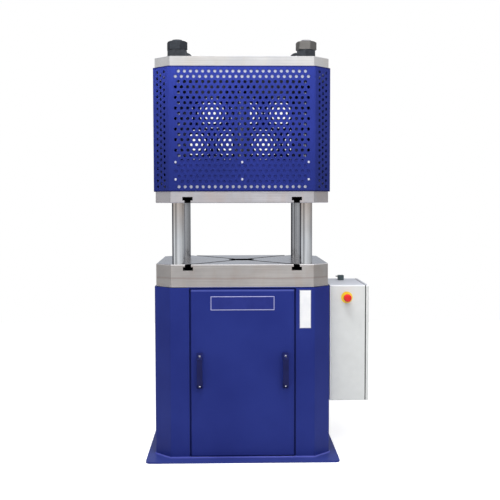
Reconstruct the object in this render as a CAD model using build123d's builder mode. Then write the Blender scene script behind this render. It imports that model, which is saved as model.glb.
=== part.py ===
from build123d import *
import os
from math import atan2, cos, degrees, radians, sin, sqrt

# Upright four-column press. X runs to the right, Y to the back, Z up, in millimetres.
# The origin is the middle of the base plate's underside.

os.makedirs("parts", exist_ok=True)

# Press plates: table, moving ram plate and top plate share one outline
plate_width = 870
plate_depth = 740
plate_thickness = 115
plate_corner = 80
plate_edge = 2.5

# Heights that stack the press up from the floor
base_thickness = 10
cabinet_height = 858
daylight = 305.5
upper_space = 490.5
ram_stroke = 300

table_underside = base_thickness + cabinet_height
table_top = table_underside + plate_thickness
ram_underside = table_top + daylight
ram_top = ram_underside + plate_thickness
top_underside = ram_top + upper_space
top_top = top_underside + plate_thickness

# Columns and their nuts
column_diameter = 64
column_inset_x = 115
column_inset_y = 55
column_x = plate_width / 2 - column_inset_x
column_y = plate_depth / 2 - column_inset_y
thread_diameter = 60
thread_clearance = 0.3
thread_stick_out = 85
thread_end_bevel = 6
nut_flats = 90
lower_nut_height = 36
upper_nut_height = 41
under_nut_height = 48
under_thread_stick_out = 62
nut_bevel_drop = 5
nut_bevel_margin = 1
under_nut_turn = 0
lower_nut_turn = 24
lock_nut_turn = -12

# Clamping slots across the table and the ram plate, and the hole in the table's middle
slot_column_gap = 49
slot_exit = column_x - slot_column_gap
slot_neck = 24
slot_neck_depth = 13
slot_bar = 40
slot_bar_height = 16
table_hole = 140
slot_angle = degrees(atan2(plate_depth / 2, slot_exit))

# Guide bushes in the ram plate
running_fit = 0.05
bush_wall = 8
bush_flange = 12
bush_flange_height = 9

# Base plate and cabinet shell
cabinet_overhang = 8
cabinet_corner = 83
cabinet_sheet = 5
cabinet_bend = 7
base_margin_side = 40
base_margin_front = 62
base_corner = 26
cabinet_width = plate_width + 2 * cabinet_overhang
cabinet_depth = plate_depth + 2 * cabinet_overhang
cabinet_front = -cabinet_depth / 2

# Front opening, its folded frame and the lift-out panel
opening_margin = 177
opening_width = cabinet_width - 2 * opening_margin
opening_bottom_gap = 4
opening_top_gap = 3
frame_sheet = 3
frame_depth = 26
stop_lip = 24
panel_side_gap = 8
panel_end_gap = 5
panel_sheet = 3
panel_bend = 4
seat_gap = 0.3
peg_diameter = 8
peg_length = 14
peg_clearance = 0.4
peg_inset = 13
opening_bottom = base_thickness + opening_bottom_gap
opening_top = table_underside - opening_top_gap
opening_height = opening_top - opening_bottom
opening_middle = (opening_top + opening_bottom) / 2

# Air slots in the cabinet's back, and the hole for the cables in its side
vent_length = 120
vent_height = 9
vent_pitch = 24
vent_count = 7
vent_drop = 228
cable_hole = 50
cable_rise = 137

# Bow handles on the panel
handle_inset = 52
handle_x = opening_width / 2 - handle_inset
handle_rise = 13
handle_level = opening_middle + handle_rise
handle_length = 179
handle_reach = 47
handle_width = 27
handle_grip = 14
handle_foot = 31
handle_slope = 24
handle_heel = 12
handle_round = 10
handle_screw_spacing = 150
handle_screw = 6
handle_head = 11
handle_head_height = 6

# Plain plates on the front
sign_width = 317
sign_height = 69
sign_drop = 75
sign_level = opening_top - sign_drop
sign_sheet = 1
side_plate_width = 56
side_plate_height = 190
side_plate_gap = 47
side_plate_drop = 109
side_plate_x = opening_width / 2 + side_plate_gap
side_plate_level = table_underside - side_plate_drop

# Perforated guard of two folded sheets round the upper space
guard_gap = 6.5
guard_sheet = 2
guard_corner = 82
guard_bend = 5
guard_drop = 48.5
guard_height = 615
guard_seam = 1
hole_diameter = 38
hole_pitch = 64
hole_margin = 10
guard_width = plate_width + 2 * (guard_gap + guard_sheet)
guard_depth = plate_depth + 2 * (guard_gap + guard_sheet)
guard_top = top_top - guard_drop
guard_bottom = guard_top - guard_height
guard_middle = guard_top - guard_height / 2
guard_front_width = guard_width - 2 * guard_corner
hole_rise = hole_pitch * sqrt(3) / 2
hole_columns = int((guard_front_width - 2 * hole_margin - hole_diameter) / hole_pitch) + 1
hole_rows = int((guard_height - 2 * hole_margin - hole_diameter) / hole_rise) + 1
side_wall_length = guard_depth / 2 - guard_corner
side_wall_columns = int((side_wall_length - 2 * hole_margin - hole_diameter) / hole_pitch) + 1

# Stiffening strip behind the front sheet, and the guard's screws
strip_inset = 20.5
strip_width = guard_front_width - 2 * strip_inset
strip_height = 118
strip_sheet = 2
strip_rise = 96
strip_level = guard_bottom + strip_rise
strip_screw_inset = 12.5
strip_screw_x = strip_width / 2 - strip_screw_inset
strip_screw_spacing = 84.5
strip_screw_rise = 102
strip_screw_level = guard_bottom + strip_screw_rise
guard_screw = 6
guard_screw_head = 12
guard_screw_head_height = 3
guard_screw_clearance = 0.2
spacer_diameter = 24
spacer_rise = 30
spacer_level = top_underside + spacer_rise
spacer_from_seam = 90
spacer_from_corner = 40
spacer_places = (spacer_from_seam, plate_depth / 2 - plate_corner - spacer_from_corner)
spacer_screw_bite = 16

# Hydraulic cylinder between the top plate and the ram plate
barrel_diameter = 95
barrel_bore = 75
cylinder_flange_diameter = 170
cylinder_flange_height = 22
cylinder_bolt_circle = 132
cylinder_bolt_count = 6
cylinder_bolt = 16
cylinder_bolt_flats = 24
cylinder_bolt_head = 10
cylinder_bolt_bite = 30
piston_height = 45
piston_cushion = 28
port_drop = 20
rod_diameter = 50
rod_spigot = 34
rod_spigot_length = 38
rod_flange_diameter = 150
rod_flange_height = 22
rod_foot = 40
rod_bolt_circle = 112
rod_bolt_count = 6
rod_bolt = 12
rod_bolt_flats = 18
rod_bolt_head = 7.5
rod_bolt_bite = 26
gland_gap = 8
gland_flange_height = 18
gland_insert = 34
seal_height = 8
seal_depth = 4
port_diameter = 12
port_boss = 34
port_boss_length = 9
fitting_flats = 27
fitting_height = 14
fitting_tube = 20
fitting_tube_length = 16
fitting_bore = 11

# Lifting eyes on the top plate
eye_x = 295
eye_rise = 40
eye_ring = 60
eye_bar = 16
eye_collar = 48
eye_collar_height = 12
eye_thread = 24
eye_bite = 34

# Oil tank and drive inside the cabinet
tank_length = 470
tank_width = 340
tank_sheet = 4
tank_y = 60
lid_thickness = 8
lid_overhang = 12
motor_x = -95
motor_y = 60
bell_height = 96
bell_foot_diameter = 180
bell_waist_diameter = 110
bell_wall = 8
motor_flange_diameter = 200
motor_flange_height = 12
motor_diameter = 156
motor_core = 132
motor_height = 236
motor_fins = 22
fin_slot = 7
cowl_diameter = 170
cowl_height = 62
cowl_sheet = 2
cowl_vent = 8
cowl_vent_count = 12
drive_headroom = 144
drive_height = bell_height + motor_flange_height + motor_height + cowl_height
tank_height = cabinet_height - drive_headroom - lid_thickness - drive_height
terminal_box = (56, 96, 84)
pump_length = 110
pump_side = 86
pump_pipe = 26
pump_inlet_gap = 20
block_x = 130
block_y = 60
block_size = (92, 92, 62)
block_bevel = 2
valve_size = (48, 62, 46)
coil_diameter = 38
coil_length = 44
gauge_diameter = 63
gauge_depth = 30
gauge_stem = 14
gauge_stem_length = 34
gauge_rise = 36
filler_x = 180
filler_y = 170
filler_diameter = 58
filler_height = 44
filler_neck = 38
filler_neck_clearance = 0.4
filler_neck_depth = 10
pipe_diameter = 12
pipe_rise = 34
pipe_bend = 20
pipe_x = 15

# Control enclosure on the right side of the cabinet
enclosure_stand_off = 9.6
enclosure_reach = 182
enclosure_length = 400
enclosure_height = 600
enclosure_top_drop = 5
enclosure_inset = 65
enclosure_top = table_underside - enclosure_top_drop
enclosure_bottom = enclosure_top - enclosure_height
enclosure_front = cabinet_front + cabinet_corner + enclosure_inset
enclosure_sheet = 2
enclosure_bend = 3
enclosure_rim = 14
bracket_plate = 4
bracket_rail = 50
bracket_rail_inset = 40
bracket_margin = 40
bracket_length = enclosure_length - 2 * bracket_margin
bracket_height = enclosure_height - 2 * bracket_margin
door_seal_gap = 5.5
door_thickness = 14
door_sheet = 2
seal_width = 12
hinge_offset = 7
hinge_inset = 60
hinge_knuckle = 10
hinge_pin = 5
hinge_half = 24
hinge_leaf = 3
hinge_block = 40
knuckle_gap = 0.3
lock_inset_y = 26
lock_inset_z = 70
lock_diameter = 22
lock_hole_clearance = 0.3
lock_head_height = 3
lock_slot = 5
lock_slot_length = 15.4
lock_slot_depth = 2
lock_shaft = 12
lock_cam_length = 28
lock_cam_width = 14
lock_cam_sheet = 3
mounting_plate_margin = 24
mounting_plate_sheet = 3
mounting_stud = 10
mounting_stud_height = 12
cabinet_side = cabinet_width / 2
enclosure_back = cabinet_side + enclosure_stand_off
enclosure_open = enclosure_back + enclosure_reach
enclosure_y = enclosure_front + enclosure_length / 2
enclosure_level = enclosure_bottom + enclosure_height / 2
cable_level = enclosure_level + cable_rise

# Switchgear: two rails on the mounting plate, each with devices of (place, width, height, depth)
rail_height = 35
rail_thickness = 7
rail_inset = 40
lower_rail = -170
upper_rail = -10
lower_devices = ((-110, 45, 75, 85), (-60, 45, 75, 85), (30, 90, 80, 55))
upper_devices = ((-95, 70, 110, 95), (0, 90, 110, 70))

# Emergency stop and cable socket on the enclosure
stop_inset = 87.4
stop_drop = 62.5
stop_x = enclosure_back + stop_inset
stop_level = enclosure_top - stop_drop
stop_ring_diameter = 60
stop_ring_sheet = 1.5
stop_collar_diameter = 30
stop_collar_height = 14
stop_thread = 22
stop_thread_length = 26
stem_diameter = 12
stop_head_diameter = 40
stop_head_height = 24
stop_head_dome = 8
stop_head_gap = 7
stop_push = 4
socket_inset = 94.4
socket_setback = 310
socket_x = enclosure_back + socket_inset
socket_y = enclosure_front + socket_setback
socket_width = 30
socket_depth = 40
socket_height = 18
socket_wall = 3
socket_floor = 4
cap_height = 8
cap_tab = 12
cap_tab_height = 4
cap_gap = 0.3


def octagon(level, width, depth, corner):
    """Outline of an oblong with its corners cut at 45 degrees, on a level plane."""
    with BuildSketch(Plane.XY.offset(level)) as outline:
        Rectangle(width, depth)
        chamfer(outline.vertices(), corner)
    return outline.sketch


def folded_section(level, width, depth, corner, bend, sheet):
    """Section of a sheet folded round an oblong with cut corners."""
    with BuildSketch(Plane.XY.offset(level)) as ring:
        Rectangle(width, depth)
        chamfer(ring.vertices(), corner)
        fillet(ring.vertices(), bend)
        offset(amount=-sheet, mode=Mode.SUBTRACT)
    return ring.sketch


def upright(x, y, outline):
    """Face of (radius, height) points beside the vertical line through x and y."""
    with BuildSketch(Plane(origin=(x, y, 0), x_dir=(1, 0, 0), z_dir=(0, -1, 0))) as half:
        with BuildLine():
            Polyline(*outline, close=True)
        make_face()
    return half.sketch


def vertical_line(x, y):
    """Vertical axis through x and y."""
    return Axis((x, y, 0), (0, 0, 1))


def level_disc(level, diameter, places):
    """Equal circles on a level plane."""
    with BuildSketch(Plane.XY.offset(level)) as discs:
        with Locations(*places):
            Circle(diameter / 2)
    return discs.sketch


def wall_plane(x, y, level, outward_x, outward_y):
    """Upright plane at a wall, facing outwards, with its own Y upwards."""
    return Plane(origin=(x, y, level), x_dir=(-outward_y, outward_x, 0), z_dir=(outward_x, outward_y, 0))


def slot_plane(level, angle, downwards):
    """Upright plane across a clamping slot, with its own Y pointing into the plate."""
    side = 1 if downwards else -1
    return Plane(
        origin=(0, 0, level),
        x_dir=(side * sin(radians(angle)), -side * cos(radians(angle)), 0),
        z_dir=(cos(radians(angle)), sin(radians(angle)), 0),
    )


def slot_section(level, angle, downwards):
    """Section of a clamping slot: a neck with a wider bar behind it."""
    with BuildSketch(slot_plane(level, angle, downwards)) as section:
        with Locations((0, slot_neck_depth / 2)):
            Rectangle(slot_neck, slot_neck_depth)
        with Locations((0, slot_neck_depth + slot_bar_height / 2)):
            Rectangle(slot_bar, slot_bar_height)
    return section.sketch


slot_reach = sqrt(plate_width**2 + plate_depth**2) / 2
column_places = {
    "front_left": (-column_x, -column_y),
    "front_right": (column_x, -column_y),
    "rear_left": (-column_x, column_y),
    "rear_right": (column_x, column_y),
}
thread_hole = thread_diameter + 2 * thread_clearance

# Base plate that the cabinet is welded to
with BuildPart() as base_plate:
    with BuildSketch() as base_outline:
        Rectangle(cabinet_width + 2 * base_margin_side, cabinet_depth + 2 * base_margin_front)
        fillet(base_outline.vertices(), base_corner)
    extrude(amount=base_thickness)
base_plate.part.label = "base_plate"
export_step(base_plate.part, "parts/base_plate.step")

# Cabinet shell: folded octagonal wall, with a folded frame and stop lip round the front opening
lip_width = opening_width - 2 * stop_lip
lip_height = opening_height - 2 * stop_lip
front_wall = wall_plane(0, cabinet_front, opening_middle, 0, -1)
peg_x = opening_width / 2 - peg_inset
peg_z = opening_height / 2 - peg_inset
vent_level = table_underside - vent_drop
with BuildPart() as cabinet_shell:
    extrude(
        folded_section(
            base_thickness, cabinet_width, cabinet_depth, cabinet_corner, cabinet_bend, cabinet_sheet
        ),
        amount=cabinet_height,
    )
    with BuildSketch(front_wall) as opening_hole:
        Rectangle(opening_width, opening_height)
    extrude(amount=-2 * cabinet_sheet, mode=Mode.SUBTRACT)
    with BuildSketch(front_wall.offset(-cabinet_sheet)) as frame_wall:
        Rectangle(opening_width + 2 * frame_sheet, opening_height + 2 * frame_sheet)
        Rectangle(opening_width, opening_height, mode=Mode.SUBTRACT)
    extrude(amount=cabinet_sheet - frame_depth)
    with BuildSketch(front_wall.offset(-frame_depth)) as lip_wall:
        Rectangle(opening_width, opening_height)
        Rectangle(lip_width, lip_height, mode=Mode.SUBTRACT)
    extrude(amount=frame_sheet)
    with BuildSketch(front_wall.offset(-frame_depth)) as peg_holes:
        with GridLocations(2 * peg_x, 2 * peg_z, 2, 2):
            Circle(peg_diameter / 2 + peg_clearance)
    extrude(amount=frame_sheet, mode=Mode.SUBTRACT)
    with BuildSketch(wall_plane(0, cabinet_depth / 2, vent_level, 0, 1)) as vents:
        with GridLocations(0, vent_pitch, 1, vent_count):
            SlotOverall(vent_length, vent_height)
    extrude(amount=-cabinet_sheet, mode=Mode.SUBTRACT)
    with BuildSketch(wall_plane(cabinet_width / 2, 0, cable_level, 1, 0)) as cable_pass:
        Circle(cable_hole / 2)
    extrude(amount=-cabinet_sheet, mode=Mode.SUBTRACT)
cabinet_shell.part.label = "cabinet_shell"
export_step(cabinet_shell.part, "parts/cabinet_shell.step")

# Table: thick plate with crossed clamping slots that meet a round hole
with BuildPart() as table_plate:
    extrude(octagon(table_underside, plate_width, plate_depth, plate_corner), amount=plate_thickness)
    chamfer(table_plate.faces().sort_by(Axis.Z)[-1].edges(), plate_edge)
    chamfer(table_plate.faces().sort_by(Axis.Z)[0].edges(), plate_edge)
    for angle in (slot_angle, -slot_angle):
        extrude(slot_section(table_top, angle, True), amount=slot_reach, both=True, mode=Mode.SUBTRACT)
    extrude(level_disc(table_underside, table_hole, [(0, 0)]), amount=plate_thickness, mode=Mode.SUBTRACT)
    extrude(
        level_disc(table_underside, thread_hole, column_places.values()),
        amount=plate_thickness,
        mode=Mode.SUBTRACT,
    )
table_plate.part.label = "table_plate"
export_step(table_plate.part, "parts/table_plate.step")

# Columns: chromed rods with a thread at each end, and a shoulder on the table and under the top plate
column_bottom = table_underside - under_thread_stick_out
column_end = top_top + thread_stick_out
column_outline = [
    (0, column_bottom),
    (thread_diameter / 2 - thread_end_bevel, column_bottom),
    (thread_diameter / 2, column_bottom + thread_end_bevel),
    (thread_diameter / 2, table_top),
    (column_diameter / 2, table_top),
    (column_diameter / 2, top_underside),
    (thread_diameter / 2, top_underside),
    (thread_diameter / 2, column_end - thread_end_bevel),
    (thread_diameter / 2 - thread_end_bevel, column_end),
    (0, column_end),
]
for place, (x, y) in column_places.items():
    with BuildPart() as column:
        revolve(upright(x, y, column_outline), axis=vertical_line(x, y))
    column.part.label = f"column_{place}"
    export_step(column.part, f"parts/column_{place}.step")

# Top plate that the cylinder pushes up against
with BuildPart() as top_plate:
    extrude(octagon(top_underside, plate_width, plate_depth, plate_corner), amount=plate_thickness)
    chamfer(top_plate.faces().sort_by(Axis.Z)[-1].edges(), plate_edge)
    chamfer(top_plate.faces().sort_by(Axis.Z)[0].edges(), plate_edge)
    extrude(
        level_disc(top_underside, thread_hole, column_places.values()),
        amount=plate_thickness,
        mode=Mode.SUBTRACT,
    )
    with BuildSketch(Plane.XY.offset(top_underside)) as cylinder_bolt_holes:
        with PolarLocations(cylinder_bolt_circle / 2, cylinder_bolt_count):
            Circle(cylinder_bolt / 2 + thread_clearance)
    extrude(amount=cylinder_bolt_bite, mode=Mode.SUBTRACT)
    for side in (-1, 1):
        with BuildSketch(wall_plane(side * plate_width / 2, 0, spacer_level, side, 0)) as spacer_holes:
            with Locations(*[(end * place, 0) for end in (-1, 1) for place in spacer_places]):
                Circle(guard_screw / 2 + guard_screw_clearance)
        extrude(amount=-spacer_screw_bite, mode=Mode.SUBTRACT)
    extrude(
        level_disc(top_top, eye_thread + 2 * thread_clearance, [(-eye_x, 0), (eye_x, 0)]),
        amount=-eye_bite - thread_clearance,
        mode=Mode.SUBTRACT,
    )
top_plate.part.label = "top_plate"
export_step(top_plate.part, "parts/top_plate.step")

# Hexagon nuts: one on the top plate and one under the table on each column, and a lock nut on top
nut_corner = nut_flats / sqrt(3)


def nut_outlines(level, turn):
    """Hexagons with the thread's hole, one on each column."""
    with BuildSketch(Plane.XY.offset(level)) as outlines:
        with Locations(*column_places.values()):
            RegularPolygon(nut_flats / 2, 6, major_radius=False, rotation=turn)
            Circle(thread_hole / 2, mode=Mode.SUBTRACT)
    return outlines.sketch


def corner_bevel(x, y, level, drop):
    """Three-cornered face that turns to a cone and takes the nut's sharp corners off."""
    inner = nut_flats / 2 - nut_bevel_margin
    outer = nut_corner + nut_bevel_margin
    return upright(x, y, [(inner, level), (outer, level), (outer, level - drop)])


with BuildPart() as column_nuts:
    extrude(nut_outlines(table_underside, under_nut_turn), amount=-under_nut_height)
    extrude(nut_outlines(top_top, lower_nut_turn), amount=lower_nut_height)
    for x, y in column_places.values():
        for level, drop in (
            (table_underside - under_nut_height, -nut_bevel_drop),
            (top_top + lower_nut_height, nut_bevel_drop),
        ):
            revolve(corner_bevel(x, y, level, drop), axis=vertical_line(x, y), mode=Mode.SUBTRACT)
column_nuts.part.label = "column_nuts"
export_step(column_nuts.part, "parts/column_nuts.step")

lock_nut_top = top_top + lower_nut_height + upper_nut_height
with BuildPart() as lock_nuts:
    extrude(nut_outlines(top_top + lower_nut_height, lock_nut_turn), amount=upper_nut_height)
    for x, y in column_places.values():
        bevel = corner_bevel(x, y, lock_nut_top, nut_bevel_drop)
        revolve(bevel, axis=vertical_line(x, y), mode=Mode.SUBTRACT)
lock_nuts.part.label = "lock_nuts"
export_step(lock_nuts.part, "parts/lock_nuts.step")

# Lifting eyes screwed into the top plate between its columns: a ring on a collar and a thread
with BuildPart() as lifting_eyes:
    for x in (-eye_x, eye_x):
        extrude(level_disc(top_top, eye_collar, [(x, 0)]), amount=eye_collar_height)
        extrude(level_disc(top_top, eye_thread, [(x, 0)]), amount=-eye_bite)
        ring_bar = level_disc(top_top + eye_rise, eye_bar, [(x + eye_ring / 2, 0)])
        revolve(ring_bar, axis=Axis((x, 0, top_top + eye_rise), (0, 1, 0)))
lifting_eyes.part.label = "lifting_eyes"
export_step(lifting_eyes.part, "parts/lifting_eyes.step")

# Ram plate: the same outline as the table, with its clamping slots in the underside
bush_outside = column_diameter + 2 * bush_wall
with BuildPart() as ram_plate:
    extrude(octagon(ram_underside, plate_width, plate_depth, plate_corner), amount=plate_thickness)
    chamfer(ram_plate.faces().sort_by(Axis.Z)[-1].edges(), plate_edge)
    chamfer(ram_plate.faces().sort_by(Axis.Z)[0].edges(), plate_edge)
    for angle in (slot_angle, -slot_angle):
        extrude(slot_section(ram_underside, angle, False), amount=slot_reach, both=True, mode=Mode.SUBTRACT)
    extrude(
        level_disc(ram_underside, bush_outside, column_places.values()),
        amount=plate_thickness,
        mode=Mode.SUBTRACT,
    )
    with BuildSketch(Plane.XY.offset(ram_top)) as rod_bolt_holes:
        with PolarLocations(rod_bolt_circle / 2, rod_bolt_count):
            Circle(rod_bolt / 2 + thread_clearance)
    extrude(amount=-rod_bolt_bite, mode=Mode.SUBTRACT)
ram_plate.part.label = "ram_plate"
export_step(ram_plate.part, "parts/ram_plate.step")

# Bronze guide bushes, one round each column, with a flange on the ram plate's top
bush_bore = column_diameter / 2 + running_fit
bush_outline = [
    (bush_bore, ram_underside + plate_edge),
    (bush_outside / 2, ram_underside + plate_edge),
    (bush_outside / 2, ram_top),
    (bush_outside / 2 + bush_flange, ram_top),
    (bush_outside / 2 + bush_flange, ram_top + bush_flange_height),
    (bush_bore, ram_top + bush_flange_height),
]
for place, (x, y) in column_places.items():
    with BuildPart() as guide_bush:
        revolve(upright(x, y, bush_outline), axis=vertical_line(x, y))
    guide_bush.part.label = f"guide_bush_{place}"
    export_step(guide_bush.part, f"parts/guide_bush_{place}.step")


def guard_half(side):
    """Front or rear half of the guard's folded section, cut at the seam."""
    section = folded_section(
        guard_bottom, guard_width, guard_depth, guard_corner, guard_bend, guard_sheet
    )
    with BuildSketch(Plane.XY.offset(guard_bottom)) as half:
        add(section)
        with Locations((0, side * (guard_depth + guard_seam) / 2)):
            Rectangle(2 * guard_width, guard_depth, mode=Mode.INTERSECT)
    return half.sketch


def clear_of_screws(x, z, screws):
    """True where a hole leaves sheet between itself and every screw."""
    reach = hole_diameter / 2 + guard_screw_head
    return all((x - screw_x) ** 2 + (z - screw_z) ** 2 > reach**2 for screw_x, screw_z in screws)


def staggered_holes(plane, columns, screws):
    """Rows of round holes in a wall, every second row moved by half a pitch."""
    places = []
    for row in range(hole_rows):
        count = columns - row % 2
        for column in range(count):
            x = (column - (count - 1) / 2) * hole_pitch
            places.append((x, (row - (hole_rows - 1) / 2) * hole_rise))
    with BuildSketch(plane) as holes:
        with Locations(*[(x, z) for x, z in places if clear_of_screws(x, z, screws)]):
            Circle(hole_diameter / 2)
    return holes.sketch


# Guard sheets: one folded sheet in front and one behind, with staggered round holes
strip_screws = [
    (x, strip_screw_level + end * strip_screw_spacing / 2)
    for x in (-strip_screw_x, 0, strip_screw_x)
    for end in (-1, 1)
]
front_screws = [(x, z - guard_middle) for x, z in strip_screws]
for name, side, screws in (("guard_front", -1, front_screws), ("guard_rear", 1, [])):
    face_y = side * guard_depth / 2
    corner_x = (guard_width - guard_corner) / 2
    corner_y = side * (guard_depth - guard_corner) / 2
    with BuildPart() as guard:
        extrude(guard_half(side), amount=guard_height)
        front_holes = staggered_holes(
            wall_plane(0, face_y, guard_middle, 0, side), hole_columns, screws
        )
        extrude(front_holes, amount=-guard_sheet, mode=Mode.SUBTRACT)
        for end in (-1, 1):
            corner_holes = staggered_holes(
                wall_plane(end * corner_x, corner_y, guard_middle, end * sqrt(0.5), side * sqrt(0.5)),
                1, [],
            )
            extrude(corner_holes, amount=-guard_sheet - guard_bend, mode=Mode.SUBTRACT)
            side_holes = staggered_holes(
                wall_plane(end * guard_width / 2, side * side_wall_length / 2, guard_middle, end, 0),
                side_wall_columns,
                [
                    (end * side * (place - side_wall_length / 2), spacer_level - guard_middle)
                    for place in spacer_places
                ],
            )
            extrude(side_holes, amount=-guard_sheet, mode=Mode.SUBTRACT)
            with BuildSketch(wall_plane(end * guard_width / 2, 0, spacer_level, end, 0)) as spacer_screw_holes:
                with Locations(*[(end * side * place, 0) for place in spacer_places]):
                    Circle(guard_screw / 2 + guard_screw_clearance)
            extrude(amount=-guard_sheet, mode=Mode.SUBTRACT)
        if screws:
            with BuildSketch(wall_plane(0, face_y, guard_middle, 0, side)) as strip_holes:
                with Locations(*screws):
                    Circle(guard_screw / 2 + guard_screw_clearance)
            extrude(amount=-guard_sheet, mode=Mode.SUBTRACT)
    guard.part.label = name
    export_step(guard.part, f"parts/{name}.step")

# Spacers that hold the guard off the top plate's sides
spacer_spots = [(end * place, 0) for end in (-1, 1) for place in spacer_places]
with BuildPart() as guard_spacers:
    for side in (-1, 1):
        with BuildSketch(wall_plane(side * plate_width / 2, 0, spacer_level, side, 0)) as spacer_rings:
            with Locations(*spacer_spots):
                Circle(spacer_diameter / 2)
                Circle(guard_screw / 2 + guard_screw_clearance, mode=Mode.SUBTRACT)
        extrude(amount=guard_gap)
guard_spacers.part.label = "guard_spacers"
export_step(guard_spacers.part, "parts/guard_spacers.step")

# Stiffening strip behind the front sheet
strip_back = -guard_depth / 2 + guard_sheet + strip_sheet
with BuildPart() as guard_strip:
    with BuildSketch(wall_plane(0, strip_back, strip_level, 0, -1)) as strip_outline:
        Rectangle(strip_width, strip_height)
        with Locations(*[(x, z - strip_level) for x, z in strip_screws]):
            Circle(guard_screw / 2 + guard_screw_clearance, mode=Mode.SUBTRACT)
    extrude(amount=strip_sheet)
guard_strip.part.label = "guard_strip"
export_step(guard_strip.part, "parts/guard_strip.step")

# Round-headed screws of the guard: six through the strip, eight through the spacers
strip_screw_length = guard_sheet + strip_sheet
with BuildPart() as guard_screws:
    with BuildSketch(wall_plane(0, -guard_depth / 2, strip_level, 0, -1)) as strip_heads:
        with Locations(*[(x, z - strip_level) for x, z in strip_screws]):
            Circle(guard_screw_head / 2)
    extrude(amount=guard_screw_head_height)
    with BuildSketch(wall_plane(0, -guard_depth / 2, strip_level, 0, -1)) as strip_shanks:
        with Locations(*[(x, z - strip_level) for x, z in strip_screws]):
            Circle(guard_screw / 2)
    extrude(amount=-strip_screw_length)
    for side in (-1, 1):
        side_wall = wall_plane(side * guard_width / 2, 0, spacer_level, side, 0)
        with BuildSketch(side_wall) as side_heads:
            with Locations(*spacer_spots):
                Circle(guard_screw_head / 2)
        extrude(amount=guard_screw_head_height)
        with BuildSketch(side_wall) as side_shanks:
            with Locations(*spacer_spots):
                Circle(guard_screw / 2)
        extrude(amount=-guard_sheet - guard_gap - spacer_screw_bite)
guard_screws.part.label = "guard_screws"
export_step(guard_screws.part, "parts/guard_screws.step")

# Cylinder barrel with its flange under the top plate and two port bosses at the back
rod_shoulder = ram_top + rod_flange_height
gland_bottom = rod_shoulder + gland_gap
barrel_bottom = gland_bottom + gland_flange_height
barrel_cap = top_underside - cylinder_flange_height
gland_top = barrel_bottom + gland_insert
piston_top = barrel_cap - piston_cushion
piston_bottom = piston_top - piston_height
upper_port = barrel_cap - port_drop
lower_port = gland_top + (piston_bottom - ram_stroke - gland_top) / 2
port_levels = (upper_port, lower_port)
with BuildPart() as cylinder_barrel:
    extrude(level_disc(barrel_bottom, barrel_diameter, [(0, 0)]), amount=barrel_cap - barrel_bottom)
    extrude(level_disc(barrel_cap, cylinder_flange_diameter, [(0, 0)]), amount=cylinder_flange_height)
    for level in port_levels:
        with BuildSketch(wall_plane(0, 0, level, 0, 1)) as boss:
            Circle(port_boss / 2)
        extrude(amount=barrel_diameter / 2 + port_boss_length)
    extrude(
        level_disc(barrel_bottom, barrel_bore, [(0, 0)]),
        amount=barrel_cap - barrel_bottom,
        mode=Mode.SUBTRACT,
    )
    for level in port_levels:
        with BuildSketch(wall_plane(0, 0, level, 0, 1)) as port:
            Circle(port_diameter / 2)
        extrude(amount=barrel_diameter, mode=Mode.SUBTRACT)
    with BuildSketch(Plane.XY.offset(barrel_cap)) as flange_bolt_holes:
        with PolarLocations(cylinder_bolt_circle / 2, cylinder_bolt_count):
            Circle(cylinder_bolt / 2 + thread_clearance)
    extrude(amount=cylinder_flange_height, mode=Mode.SUBTRACT)
cylinder_barrel.part.label = "cylinder_barrel"
export_step(cylinder_barrel.part, "parts/cylinder_barrel.step")

# Hexagon bolts up through the cylinder flange
with BuildPart() as cylinder_bolts:
    with BuildSketch(Plane.XY.offset(barrel_cap)) as cylinder_bolt_heads:
        with PolarLocations(cylinder_bolt_circle / 2, cylinder_bolt_count):
            RegularPolygon(cylinder_bolt_flats / 2, 6, major_radius=False)
    extrude(amount=-cylinder_bolt_head)
    with BuildSketch(Plane.XY.offset(barrel_cap)) as cylinder_bolt_shanks:
        with PolarLocations(cylinder_bolt_circle / 2, cylinder_bolt_count):
            Circle(cylinder_bolt / 2)
    extrude(amount=cylinder_flange_height + cylinder_bolt_bite)
cylinder_bolts.part.label = "cylinder_bolts"
export_step(cylinder_bolts.part, "parts/cylinder_bolts.step")

# Gland that closes the barrel's lower end round the rod
gland_bore = rod_diameter / 2 + running_fit
gland_outline = [
    (gland_bore, gland_bottom),
    (barrel_diameter / 2, gland_bottom),
    (barrel_diameter / 2, barrel_bottom),
    (barrel_bore / 2, barrel_bottom),
    (barrel_bore / 2, gland_top),
    (gland_bore, gland_top),
]
with BuildPart() as cylinder_gland:
    revolve(upright(0, 0, gland_outline), axis=vertical_line(0, 0))
cylinder_gland.part.label = "cylinder_gland"
export_step(cylinder_gland.part, "parts/cylinder_gland.step")

# Piston with a groove for its seal
piston_radius = barrel_bore / 2 - running_fit
seal_bottom = piston_bottom + (piston_height - seal_height) / 2
piston_outline = [
    (0, piston_bottom + rod_spigot_length),
    (0, piston_top),
    (piston_radius, piston_top),
    (piston_radius, seal_bottom + seal_height),
    (piston_radius - seal_depth, seal_bottom + seal_height),
    (piston_radius - seal_depth, seal_bottom),
    (piston_radius, seal_bottom),
    (piston_radius, piston_bottom),
    (rod_spigot / 2, piston_bottom),
    (rod_spigot / 2, piston_bottom + rod_spigot_length),
]
with BuildPart() as piston:
    revolve(upright(0, 0, piston_outline), axis=vertical_line(0, 0))
piston.part.label = "piston"
export_step(piston.part, "parts/piston.step")

# Seal ring in the piston's groove
seal_outline = [
    (piston_radius - seal_depth, seal_bottom),
    (piston_radius, seal_bottom),
    (piston_radius, seal_bottom + seal_height),
    (piston_radius - seal_depth, seal_bottom + seal_height),
]
with BuildPart() as piston_seal:
    revolve(upright(0, 0, seal_outline), axis=vertical_line(0, 0))
piston_seal.part.label = "piston_seal"
export_step(piston_seal.part, "parts/piston_seal.step")

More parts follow.
